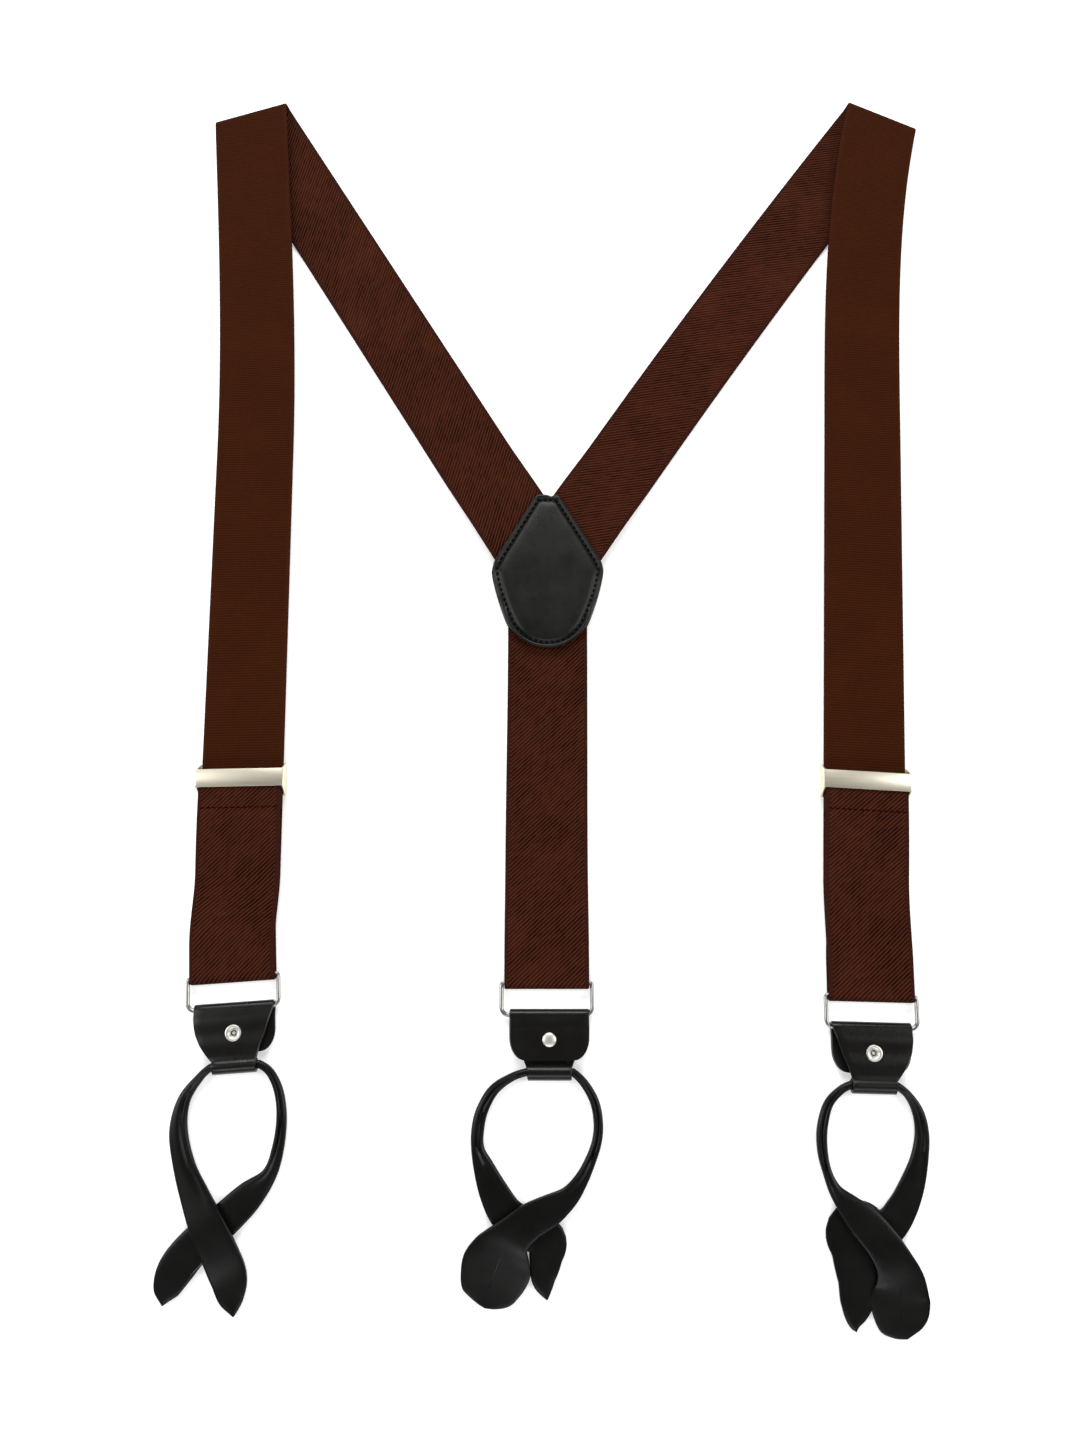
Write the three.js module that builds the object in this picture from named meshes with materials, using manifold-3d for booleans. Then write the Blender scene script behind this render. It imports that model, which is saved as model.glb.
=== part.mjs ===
// Button-on suspenders laid flat, with their front straps folded down over the shoulder folds.
// Two elastic straps run from a leather Y patch to the shoulders and down to the sliders, and one
// runs down the back. Each of the three ends carries a wire ring, a riveted leather tab and a
// looped leather end with two buttonholes. Millimetres, +Z up off the floor, +Y to the shoulders.
// The origin lies on the floor under the middle of the Y patch.
import * as THREE from 'three';
import { mergeVertices } from 'three/addons/utils/BufferGeometryUtils.js';
import Module from 'manifold-3d';

const wasm = await Module();
wasm.setup();

// Webbing
const webWidth = 35;
const webThick = 1.3;
const seamGap = 0.3; // between two lengths of one strap that move apart
const foldRadius = 2.5; // middle of the webbing in the shoulder fold
const seamSpan = 13; // from a turned-back end's seam to the bar that it turns round

// Y patch
const patchTopHalf = 4.4;
const patchTop = 36.4;
const patchHalf = 25; // half the width at the side corners
const patchChamfer = 4.5;
const patchSideHalf = 17.8; // half the width where the rounded tail starts
const patchSideDrop = 24;
const patchTail = 35.5;
const patchLeather = 1;
const patchBorder = 4;
const padThick = 1;
const layerGap = 0.2; // between layers that are sewn or pressed together

// Wire rings
const wireRadius = 0.9;
const wireGap = 0.3; // from the wire to what turns round it
const ringSideGap = 1.1; // from the webbing to the wire, each side
const ringWidth = webWidth + 2 * (ringSideGap + wireRadius);
const barSpan = 12.8; // between the middles of the two bars
const ringCorner = 1.1;

// Leather tabs
const tabLeather = 1.3;
const plyGap = 0.33; // between the three layers at the rivet
const tabWidth = 32.6;
const flapEndWidth = 20;
const flapLength = 17.7;
const flapShoulder = 9.1; // length of the flap's rounded part
const sleeveWidth = 18;
const sleeveDrop = 22.35; // from the ring's bar to the middle of the sleeve
const tongueWidth = 15;
const tongueTop = 6.5;
const cordRadius = 1.6;
const cordGap = 0.32;

// Rivets
const rivetDrop = 9.6; // from the ring's bar
const tubeRadius = 1.5;
const tubeBore = 1;
const studRadius = 0.7;
const rivetHoleGap = 0.3;
const headRadius = 3.3; // rolled head on the body side
const headThick = 0.45;
const capRadius = 2.9; // dome on the outer side
const capThick = 0.85;
const headSeat = 0.08; // from a head to the leather under it
const seatReach = headRadius + 0.4; // half the length of the flat leather round a rivet

// Button loops
const loopLeather = 2.6; // the band is folded double
const paddleLeather = 1.6;
const slitLength = 16;
const slitWidth = 1.6;

// Sliders
const sheetThick = 0.8;
const earGap = 0.3; // each side of the webbing
const backPlateLength = 7.6;
const earLength = 14;
const barWidth = 3;
const barThick = 0.8;
const barBack = -1; // from the middle of the slider to the middle of its bar
const clampPinRadius = 0.5;
const clampPinHoleGap = 0.25;
const clampPinAhead = 5.2;
const clampPinHeight = 1;
const clampBack = 7;
const clampLift = 0.2;
const clampSideGap = 0.3;
const toothHeight = 0.6;
const toothCount = 11;
const toothAhead = 2.5;
const rampEnd = 20; // straight strap below the middle of the slider
const lastRamp = 11; // length in which the strap comes down to the fold round the ring

// Heights of the middles of the layers over the floor
const floorLayer = webThick / 2;
const wireTurn = wireRadius + wireGap + webThick / 2;
const ringHeight = floorLayer + wireTurn;
const overRing = ringHeight + wireTurn;
const inSlider = clampPinHeight + toothHeight + layerGap + webThick / 2;
const sewnLayer = inSlider + webThick + layerGap;
const barTurn = barThick / 2 + wireGap + webThick / 2;
const barHeight = sewnLayer + barTurn;
const overBar = barHeight + barTurn;
const backPlateHeight = overBar + webThick / 2 + layerGap;
const underPatch = patchLeather + layerGap + webThick / 2;
const diagonalLayer = underPatch + webThick + layerGap * 1.5;
const patchFace = diagonalLayer + webThick / 2 + layerGap;

// The lay of the two front straps. Angles are in degrees from +Y, positive to the left.
const fronts = [
  {
    name: 'left',
    crown: [-143.8, 236.8], // where the strap starts to fold over the shoulder
    bow: 0, // how far the back strap's middle leaves the straight line, to the right
    foldDrop: 5, // the front strap's angle as it leaves the fold
    slider: [-130.9, -93.4],
    strapAngle: 1.2,
    straightAbove: 153, // straight strap above the slider
    ring: [-129.9, -175.5],
    ringAngle: 4,
    tabShift: 0.7,
  },
  {
    name: 'right',
    crown: [163.2, 235.4],
    bow: -2.9,
    foldDrop: -14.5,
    slider: [135.6, -94.7],
    strapAngle: -3.4,
    straightAbove: 155,
    ring: [132.5, -183.3],
    ringAngle: -1.5,
    tabShift: -0.4,
  },
];
const rear = { name: 'rear', ring: [-0.6, -178.1], ringAngle: 0, tabShift: 1 };
const patchCross = [0, 0.8]; // where the middles of the two back straps meet

// Button loops: middle of the band from one end, through the sleeve, to the other, as x, y, height,
// width and thickness. x and y are from the middle of the sleeve, in the tab's own directions.
const onTop = 4.4;
const beneath = loopLeather / 2 + 0.05;
const sleeveHeight = cordRadius + cordGap + tabLeather;
const cord = cordRadius * 2;
const besideSleeve = sleeveHeight - 0.32;
const routes = {
  left: [
    [-1.9, -93.4, 1.3, 3, 2],
    [-2.8, -86.6, 1.4, 10.6, 2.4],
    [-3.6, -79, 2, 14.4, loopLeather],
    [-6.6, -70, 3.6, 13.4, loopLeather],
    [-11.6, -60.6, onTop, 12, loopLeather],
    [-17.2, -48.8, 3.4, 10, 2.8],
    [-22, -37, 2.6, 8.6, 3],
    [-24, -23.6, 2.4, 7.2, cord],
    [-20.8, -12, 2.4, 5.2, cord],
    [-14.2, -3.6, besideSleeve, 3.4, cord],
    [-9.6, -0.1, sleeveHeight, cord, cord],
    [-7.4, 0, sleeveHeight, cord, cord],
    [7.4, 0, sleeveHeight, cord, cord],
    [9.6, -0.1, sleeveHeight, cord, cord],
    [14, -3.6, besideSleeve, 3.4, cord],
    [17.2, -11, 2.3, 3.8, cord],
    [18.2, -21, 2.1, 4.2, cord],
    [16.2, -31, 1.8, 5.4, cord],
    [11.2, -40.4, 1.5, 8, 3],
    [2.2, -49.6, beneath, 11.4, loopLeather],
    [-8.2, -59.6, beneath, 12, loopLeather],
    [-18, -67.4, beneath, 13.8, loopLeather],
    [-24.4, -75.2, beneath, 14.4, loopLeather],
    [-28, -82.4, beneath, 10.4, 2.4],
    [-29.4, -87.6, 1.1, 3, 2],
  ],
  rear: [
    [-1, -84.2, 1.1, 3, 2],
    [-1.2, -76.4, beneath, 10, 2.4],
    [0, -67, beneath, 14.6, loopLeather],
    [-1.6, -59, beneath, 14, loopLeather],
    [-9, -53.4, beneath, 12.8, loopLeather],
    [-19.6, -47, 1.5, 11.6, loopLeather],
    [-26.4, -34.8, 1.8, 8.4, 3],
    [-28.4, -24.4, 2.1, 5.8, cord],
    [-26.6, -15.2, 2.3, 4.6, cord],
    [-22.2, -6.8, 2.6, 3.8, cord],
    [-15.4, -2, besideSleeve, 3.4, cord],
    [-9.6, 0, sleeveHeight, cord, cord],
    [-7.4, 0, sleeveHeight, cord, cord],
    [7.4, 0, sleeveHeight, cord, cord],
    [9.6, 0, sleeveHeight, cord, cord],
    [14.4, -3.8, besideSleeve, 3.4, cord],
    [18.6, -11, 2.6, 3.8, cord],
    [20, -19.6, 2.5, 4, cord],
    [18.2, -28.6, 2.6, 5, cord],
    [14, -37.4, 3, 6.6, 3],
    [7.4, -46, 3.8, 9.2, 2.8],
    [-1.4, -53.4, onTop + 0.1, 12.4, loopLeather],
    [-10.2, -60.8, onTop, 16.4, 2.2],
    [-16.6, -67.4, 3.3, 23.4, paddleLeather],
    [-21.2, -73.2, 2.4, 26.8, paddleLeather],
    [-25.4, -79.2, 1.5, 24, paddleLeather],
    [-28.8, -84.2, 1, 13, paddleLeather],
  ],
  right: [
    [10.6, -92.2, 0.9, 10, paddleLeather],
    [9.4, -87, 1.2, 19, paddleLeather],
    [7.8, -79, 1.9, 23.6, paddleLeather],
    [7, -71.6, 2.8, 21.4, paddleLeather],
    [4, -63.4, 4, 15, 2.2],
    [-3.2, -53.8, onTop + 0.1, 11.6, loopLeather],
    [-13.2, -45.2, 3.6, 8.6, 2.8],
    [-19, -35.6, 2.8, 5.2, cord],
    [-20.9, -24.6, 2.5, 4.5, cord],
    [-20.2, -15.4, 2.5, 4.3, cord],
    [-17.8, -7.4, 2.7, 3.8, cord],
    [-13.8, -2.4, besideSleeve, 3.4, cord],
    [-9.6, 0, sleeveHeight, cord, cord],
    [-7.4, 0, sleeveHeight, cord, cord],
    [7.4, 0, sleeveHeight, cord, cord],
    [9.6, 0, sleeveHeight, cord, cord],
    [14, -3.2, besideSleeve, 3.4, cord],
    [17.8, -9.6, 2.4, 4.6, cord],
    [19.2, -18, 2, 6.2, cord],
    [17.2, -29, 1.8, 8.4, 3],
    [13.6, -38, 1.5, 10, 2.8],
    [8.4, -46.8, beneath, 11.4, loopLeather],
    [1, -56.6, beneath, 12.8, loopLeather],
    [-6, -65.6, beneath, 14.4, loopLeather],
    [-10.4, -75.4, beneath, 14.8, loopLeather],
    [-12, -83.6, beneath, 11, 2.4],
    [-12.2, -89.4, 1.1, 4, 2],
  ],
};

const UP = new THREE.Vector3(0, 0, 1);
const ACROSS = new THREE.Vector3(1, 0, 0);
const suspenders = new THREE.Group();

const webbing = { color: 0x41221a, roughness: 0.85, metalness: 0 };
const leather = { color: 0x1c1b19, roughness: 0.5, metalness: 0 };
const nickel = { color: 0xd2cab2, roughness: 0.3, metalness: 1 };

function addPart(group, name, geometry, look) {
  const part = new THREE.Mesh(geometry, new THREE.MeshStandardMaterial(look));
  part.name = name;
  group.add(part);
  return part;
}

/** A closed geometry as a solid that can be joined and cut. */
function toSolid(geometry) {
  const bare = geometry.clone();
  bare.deleteAttribute('normal');
  bare.deleteAttribute('uv');
  const merged = mergeVertices(bare, 1e-5);
  return new wasm.Manifold(new wasm.Mesh({
    numProp: 3,
    vertProperties: new Float32Array(merged.attributes.position.array),
    triVerts: new Uint32Array(merged.index.array),
  }));
}

function toGeometry(solid) {
  const mesh = solid.getMesh();
  const geometry = new THREE.BufferGeometry();
  geometry.setAttribute('position', new THREE.BufferAttribute(mesh.vertProperties, 3));
  geometry.setIndex(new THREE.BufferAttribute(mesh.triVerts, 1));
  geometry.computeVertexNormals();
  return geometry;
}

function box(width, length, height, x, y, z) {
  return new THREE.BoxGeometry(width, length, height).translate(x, y, z);
}

const direction = (degrees) => new THREE.Vector3(0, 1, 0).applyAxisAngle(UP, THREE.MathUtils.degToRad(degrees));
const flat = ([x, y], z = 0) => new THREE.Vector3(x, y, z);
const ramp = THREE.MathUtils.smoothstep;

/** A strip of even thickness bent along stations, each with a middle, across and up. */
function strip(stations, thickness, acrossSteps = 1) {
  const last = stations.length - 1;
  const geometry = new THREE.BoxGeometry(1, 1, 1, acrossSteps, last, 1);
  const places = geometry.attributes.position;
  for (let i = 0; i < places.count; i += 1) {
    const { middle, across, up, width } = stations[Math.round((places.getY(i) + 0.5) * last)];
    const place = middle.clone()
      .addScaledVector(across, places.getX(i) * width)
      .addScaledVector(up, places.getZ(i) * thickness);
    places.setXYZ(i, place.x, place.y, place.z);
  }
  return geometry;
}

/** Stations along points, level across, or across a given direction where the strip turns over. */
function stationsOn(points, widths, fixedAcross) {
  return points.map((middle, i) => {
    const before = points[Math.max(i - 1, 0)];
    const after = points[Math.min(i + 1, points.length - 1)];
    const along = after.clone().sub(before).normalize();
    const across = fixedAcross ?? along.clone().cross(UP).normalize();
    const width = Array.isArray(widths) ? widths[i] : widths;
    return { middle, across, up: across.clone().cross(along).normalize(), width };
  });
}

/** Points y, z and width round part of a circle in the YZ plane, angles in degrees. */
function arc(y, z, radius, from, to, steps, width) {
  return Array.from({ length: steps + 1 }, (_, i) => {
    const angle = THREE.MathUtils.degToRad(from + ((to - from) * i) / steps);
    return [y + radius * Math.cos(angle), z + radius * Math.sin(angle), width];
  });
}

/** A strip whose path turns over in the YZ plane, from points of y, z and width. */
function turnedStrip(profile, thickness, acrossSteps) {
  const points = profile.map(([y, z]) => new THREE.Vector3(0, y, z));
  return strip(stationsOn(points, profile.map((point) => point[2]), ACROSS), thickness, acrossSteps);
}

// ---- Straps from the Y patch over the shoulders ----

/** The fold over a shoulder: the strap leaves its own plane about an oblique line and comes back on top. */
function shoulderFold(front) {
  const cross = flat(patchCross);
  const crown = flat(front.crown);
  const bend = cross.clone().add(crown).multiplyScalar(0.5).add(new THREE.Vector3(2 * front.bow, 0, 0));
  const incoming = crown.clone().sub(bend).normalize();
  const outgoing = direction(front.foldDrop).negate();
  const normal = incoming.clone().sub(outgoing).normalize();
  const across = normal.clone().cross(UP);
  const width = webWidth / incoming.dot(normal);
  const length = (Math.PI * foldRadius) / incoming.dot(normal);
  const at = (distance) => {
    const turn = (distance * incoming.dot(normal)) / foldRadius;
    const middle = crown.clone()
      .addScaledVector(across, distance * incoming.dot(across))
      .addScaledVector(normal, foldRadius * Math.sin(turn))
      .addScaledVector(UP, floorLayer + foldRadius * (1 - Math.cos(turn)));
    const along = normal.clone().multiplyScalar(Math.cos(turn)).addScaledVector(UP, Math.sin(turn));
    return { middle, across, up: across.clone().cross(along), width };
  };
  return { cross, crown, bend, incoming, outgoing, across, width, length, at };
}

/** A back strap's middle at a share of its length, raised onto the layers under the patch. */
function backStrapPoint(fold, share) {
  const curve = new THREE.QuadraticBezierCurve3(fold.cross, fold.bend, fold.crown);
  const point = curve.getPoint(share);
  const away = point.distanceTo(fold.cross);
  point.z = diagonalLayer + (floorLayer - diagonalLayer) * ramp(away, 32, 64);
  return point;
}

function backStrap(front, fold) {
  const steps = 22;
  const points = [flat(patchCross, diagonalLayer).addScaledVector(fold.incoming, -40)];
  for (let i = 0; i < steps; i += 1) {
    points.push(backStrapPoint(fold, (i / steps) * 0.975));
  }
  const stations = stationsOn(points, webWidth);
  const end = fold.at(0);
  end.middle.addScaledVector(fold.incoming, -seamGap);
  stations.push(end);
  const side = Math.sign(front.crown[0]);
  const halfSpace = toSolid(box(400, 600, 40, side * (200 + layerGap), 200, 0));
  return toGeometry(toSolid(strip(stations, webThick)).intersect(halfSpace));
}

/** The front strap from the fold down to where its straight run starts. */
function frontStrap(front, fold) {
  const start = fold.at(fold.length);
  const first = start.middle.clone().addScaledVector(fold.outgoing, seamGap);
  const down = direction(front.strapAngle).negate();
  const end = runTop(front).addScaledVector(down, -seamGap);
  const reach = first.distanceTo(end) / 3;
  const curve = new THREE.CubicBezierCurve3(
    first,
    first.clone().addScaledVector(fold.outgoing, reach).add(new THREE.Vector3(0, 0, -0.8)),
    end.clone().addScaledVector(down, -reach),
    end,
  );
  const points = curve.getPoints(20);
  points.splice(1, 1);
  const stations = stationsOn(points, webWidth);
  stations[0] = { middle: first, across: fold.across.clone().negate(), up: UP, width: fold.width };
  return strip(stations, webThick);
}

const runTop = (front) => flat(front.slider, inSlider)
  .addScaledVector(direction(front.strapAngle), front.straightAbove);

/** A point on a front strap's run, by its distance below the middle of the slider. */
function runPoint(front, drop, height) {
  const down = direction(front.strapAngle).negate();
  const ringDown = direction(front.ringAngle).negate();
  const bendTop = flat(front.slider).addScaledVector(down, rampEnd);
  const bendEnd = flat(front.ring).addScaledVector(ringDown, -seamSpan);
  const bendLength = bendTop.distanceTo(bendEnd);
  const point = flat(front.slider).addScaledVector(down, drop);
  if (drop > rampEnd) {
    const third = bendLength / 3;
    const curve = new THREE.CubicBezierCurve3(
      bendTop,
      bendTop.clone().addScaledVector(down, third),
      bendEnd.clone().addScaledVector(ringDown, -third),
      bendEnd,
    );
    point.copy(curve.getPoint((drop - rampEnd) / bendLength));
  }
  point.z = height;
  return point;
}

const runLength = (front) => {
  const bendTop = flat(front.slider).addScaledVector(direction(front.strapAngle), -rampEnd);
  const bendEnd = flat(front.ring).addScaledVector(direction(front.ringAngle), seamSpan);
  return rampEnd + bendTop.distanceTo(bendEnd);
};

/** A run's strip, its last station square to the fold round the ring. */
function runStrip(front, points) {
  const stations = stationsOn(points, webWidth);
  stations.at(-1).across = direction(front.ringAngle).negate().cross(UP);
  return strip(stations, webThick);
}

/** The strap's own run at the slider's level, so that the slider can move, and down to the ring. */
function adjustRun(front) {
  const length = runLength(front) - seamGap;
  const rampFrom = length - lastRamp;
  const drops = [-front.straightAbove, -90, -45, 0, rampEnd];
  drops.push(rampEnd + 18, rampFrom, length - 8, length - 5, length - 2, length);
  const points = drops.map((drop) => {
    const height = inSlider + (floorLayer - inSlider) * ramp(drop, rampFrom, length - 1);
    return runPoint(front, drop, height);
  });
  return runStrip(front, points);
}

/** The return layer, from the fold round the ring up to the slider's bar. */
function returnRun(front) {
  const length = runLength(front) - seamGap;
  const start = seamSpan + seamGap;
  const steps = 10;
  const points = Array.from({ length: steps + 1 }, (_, i) => {
    const drop = start + ((length - start) * i) / steps;
    return runPoint(front, drop, overBar + (overRing - overBar) * ramp(drop, start, length - 6));
  });
  return runStrip(front, points);
}

/** The strap's end, turned over the slider's bar and sewn under the return layer. */
function sewnEnd() {
  const turnMiddle = barBack + barWidth / 2 - 0.2;
  const profile = [
    [-seamSpan, sewnLayer, webWidth],
    ...arc(turnMiddle, barHeight, barTurn, -90, 90, 8, webWidth),
    [-seamSpan, overBar, webWidth],
  ];
  return turnedStrip(profile, webThick);
}

/** The webbing folded round the top bar of a ring. */
function ringFold(lowerEnd) {
  const profile = [
    [lowerEnd, floorLayer, webWidth],
    ...arc(0, ringHeight, wireTurn, -90, -270, 10, webWidth),
    [seamSpan, overRing, webWidth],
  ];
  return turnedStrip(profile, webThick);
}

function centreBackStrap() {
  const rampTop = rear.ring[1] + 45;
  const rampFoot = rear.ring[1] + seamSpan;
  const places = [7, -28, -34, -40, -46, -52, -58, rampTop];
  for (let i = 1; i <= 8; i += 1) {
    places.push(rampTop + ((rampFoot + seamGap - rampTop) * i) / 8);
  }
  const points = places.map((y) => {
    const nearPatch = underPatch + (floorLayer - underPatch) * ramp(-y, 34, 58);
    const nearRing = (overRing - floorLayer) * ramp(-y, -rampTop, -rampFoot - 2);
    const x = rear.ring[0] * ramp(-y, 30, -rampTop);
    return new THREE.Vector3(x, y, nearPatch + nearRing);
  });
  return strip(stationsOn(points, webWidth), webThick);
}

// ---- Y patch ----

function patchOutline(inset) {
  const shape = new THREE.Shape();
  const tailFrom = -patchSideDrop + inset * 0.4;
  shape.moveTo(patchTopHalf - inset * 0.4, patchTop - inset);
  shape.lineTo(-patchTopHalf + inset * 0.4, patchTop - inset);
  shape.lineTo(-patchHalf + 1.6 + inset * 1.1, patchChamfer);
  shape.lineTo(-patchHalf + inset, 0);
  shape.quadraticCurveTo(-patchHalf + 1.2 + inset, tailFrom / 2, -patchSideHalf + inset, tailFrom);
  shape.quadraticCurveTo(-patchSideHalf / 2, -patchTail + inset, 0, -patchTail + inset);
  shape.quadraticCurveTo(patchSideHalf / 2, -patchTail + inset, patchSideHalf - inset, tailFrom);
  shape.quadraticCurveTo(patchHalf - 1.2 - inset, tailFrom / 2, patchHalf - inset, 0);
  shape.lineTo(patchHalf - 1.6 - inset * 1.1, patchChamfer);
  return shape;
}

function plate(shape, bottom, thickness) {
  const options = { depth: thickness, bevelEnabled: false, curveSegments: 6 };
  return new THREE.ExtrudeGeometry(shape, options).translate(0, 0, bottom);
}

function puffedFront() {
  const bevel = 1.2;
  const options = {
    depth: 0.01,
    bevelThickness: bevel,
    bevelSize: bevel,
    bevelSegments: 3,
    curveSegments: 6,
  };
  const rise = patchFace + padThick + layerGap;
  const crown = new THREE.ExtrudeGeometry(patchOutline(patchBorder - bevel), options).translate(0, 0, rise);
  const upper = toSolid(crown).intersect(toSolid(box(80, 100, 20, 0, 0, rise + 10)));
  const rim = toSolid(plate(patchOutline(0), patchFace, padThick + layerGap + 0.4));
  const pocket = toSolid(plate(patchOutline(patchBorder - layerGap), patchFace - 1, padThick + layerGap + 1));
  return toGeometry(rim.subtract(pocket).add(upper));
}

// ---- Ends: ring, tab, rivet and button loop ----

/** A closed wire rectangle with round corners, lying level. */
function wireRing() {
  const straightX = ringWidth / 2 - wireRadius - ringCorner;
  const straightY = barSpan / 2 - ringCorner;
  const turns = 16;
  const geometry = new THREE.TorusGeometry(ringCorner, wireRadius, 8, turns);
  geometry.rotateZ(Math.PI / turns);
  const places = geometry.attributes.position;
  for (let i = 0; i < places.count; i += 1) {
    const x = places.getX(i) + Math.sign(places.getX(i)) * straightX;
    const y = places.getY(i) + Math.sign(places.getY(i)) * straightY;
    places.setXYZ(i, x, y, places.getZ(i));
  }
  return geometry;
}

/** The flap's rounded end, as y, z and width. */
function flapEnd(height) {
  return Array.from({ length: 5 }, (_, i) => {
    const angle = (i * Math.PI) / 8;
    const y = -flapLength + flapShoulder * (1 - Math.cos(angle));
    return [y, height, flapEndWidth + (tabWidth - flapEndWidth) * Math.sin(angle)];
  });
}

const tabTurn = wireRadius + wireGap + tabLeather / 2;
const sleeveTurn = cordRadius + cordGap + tabLeather / 2;
const tabOverBar = ringHeight + tabTurn;
const tabUnderBar = ringHeight - tabTurn;
const sleeveTop = sleeveHeight + sleeveTurn;
const sleeveBottom = sleeveHeight - sleeveTurn;
const midTaper = (tabWidth + sleeveWidth) / 2 - 3;

// Middles of the three layers at the rivet, from the floor up
const ply = tabLeather + plyGap;
const overCap = capThick + headSeat + tabLeather / 2;
const overHead = headThick + headSeat + tabLeather / 2;
const layersBodyUp = { flap: overCap, tongue: overCap + ply, body: overCap + 2 * ply };
const layersFlapUp = { body: overHead, tongue: overHead + ply, flap: overHead + 2 * ply };

/** A tab whose flap lies on the floor side, as the front ends lie. */
function tabBodyUp() {
  const { flap, tongue, body } = layersBodyUp;
  const leave = 35;
  return [
    ...flapEnd(flap),
    [-rivetDrop + seatReach, flap, tabWidth],
    ...arc(0, ringHeight, tabTurn, -90, 90, 8, tabWidth),
    [-rivetDrop + seatReach, body, tabWidth - 0.6],
    [-rivetDrop, body, tabWidth - 2.4],
    [-rivetDrop - seatReach, body, tabWidth - 6.6],
    [-16.4, body + 0.4, midTaper],
    [-19.6, sleeveTop - 0.15, sleeveWidth + 1.5],
    ...arc(-sleeveDrop, sleeveHeight, sleeveTurn, 90, 270 + leave, 12, sleeveWidth),
    [-17.9, tongue, tongueWidth],
    [-rivetDrop, tongue, tongueWidth],
    [-tongueTop, tongue, tongueWidth - 4],
  ];
}

/** A tab whose flap is on top, as the rear end lies. */
function tabFlapUp() {
  const { flap, tongue, body } = layersFlapUp;
  const leave = 50;
  return [
    ...flapEnd(flap),
    [-rivetDrop + seatReach, flap, tabWidth],
    ...arc(0, ringHeight, tabTurn, 90, -90, 8, tabWidth),
    [-rivetDrop + seatReach, body, tabWidth - 0.6],
    [-rivetDrop, body, tabWidth - 2.4],
    [-rivetDrop - seatReach, body, tabWidth - 6.6],
    [-16.4, body - 0.2, midTaper],
    [-19.6, sleeveBottom + 0.1, sleeveWidth + 1.5],
    ...arc(-sleeveDrop, sleeveHeight, sleeveTurn, 270, 90 - leave, 12, sleeveWidth),
    [-18.9, tongue + 0.1, tongueWidth],
    [-16, tongue, tongueWidth],
    [-rivetDrop, tongue, tongueWidth],
    [-tongueTop, tongue, tongueWidth - 4],
  ];
}

function tab(profile) {
  const hole = new THREE.CylinderGeometry(tubeRadius + rivetHoleGap, tubeRadius + rivetHoleGap, 20, 16);
  hole.rotateX(Math.PI / 2).translate(0, -rivetDrop, 0);
  return toGeometry(toSolid(turnedStrip(profile, tabLeather, 2)).subtract(toSolid(hole)));
}

/** A lathed piece standing on +Z from points of radius and height. */
function lathed(points, segments) {
  const profile = points.map(([radius, height]) => new THREE.Vector2(radius, height));
  return new THREE.LatheGeometry(profile, segments).rotateX(Math.PI / 2);
}

/** The tubular rivet: its rolled head at height 0, its tube going down through the leather. */
function rivetTube(grip) {
  return lathed([
    [tubeBore, -grip],
    [tubeRadius, -grip],
    [tubeRadius, 0],
    [headRadius - 0.2, 0],
    [headRadius, headThick * 0.4],
    [headRadius - 0.4, headThick],
    [tubeRadius, headThick],
    [tubeBore, headThick * 0.5],
    [tubeBore, -grip],
  ], 20);
}

/** The domed cap with the stud that grips inside the tube: its rim at height 0, its stud going up. */
function rivetCap(grip) {
  const dome = Array.from({ length: 5 }, (_, i) => {
    const angle = (i * Math.PI) / 8;
    return [capRadius * Math.sin(angle), -capThick * Math.cos(angle)];
  });
  dome[0][0] = 0;
  return lathed([...dome, [studRadius, 0], [studRadius, grip - 1], [0, grip - 1]], 20);
}

/** A leather loop: a band whose width and thickness change along its route. */
function buttonLoop(route) {
  const places = new THREE.CatmullRomCurve3(route.map(([x, y, z]) => new THREE.Vector3(x, y, z)));
  const sizes = new THREE.CatmullRomCurve3(route.map((point) => new THREE.Vector3(point[3], point[4], 0)));
  const steps = (route.length - 1) * 2;
  const points = Array.from({ length: steps + 1 }, (_, i) => places.getPoint(i / steps));
  const stations = stationsOn(points, 1);
  const geometry = new THREE.CylinderGeometry(1, 1, 1, 10, steps);
  const vertices = geometry.attributes.position;
  for (let i = 0; i < vertices.count; i += 1) {
    const at = Math.round((vertices.getY(i) + 0.5) * steps);
    const size = sizes.getPoint(at / steps);
    const { middle, across, up } = stations[at];
    const rise = Math.sign(vertices.getZ(i)) * Math.abs(vertices.getZ(i)) ** 0.75;
    const place = middle.clone()
      .addScaledVector(across, (vertices.getX(i) * size.x) / 2)
      .addScaledVector(up, (rise * size.y) / 2);
    vertices.setXYZ(i, place.x, place.y, place.z);
  }
  return { solid: toSolid(geometry), stations };
}

/** A buttonhole along the band at a station, moved sideways onto the fold of a folded end. */
function cutSlit(loop, station, sideways) {
  const { middle, across } = loop.stations[station];
  const slit = box(slitWidth, slitLength, 12, 0, 0, 0);
  slit.rotateZ(Math.atan2(across.y, across.x));
  slit.translate(middle.x + across.x * sideways, middle.y + across.y * sideways, 2);
  loop.solid = loop.solid.subtract(toSolid(slit));
}

// Buttonholes as a station counted from the start of the route, or back from its end, and a
// sideways distance
const slits = {
  left: [[5, 6.6], [-6, -6.8]],
  rear: [[5, -6.8], [-6, 0]],
  right: [[6, 0], [-6, 6.8]],
};

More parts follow.
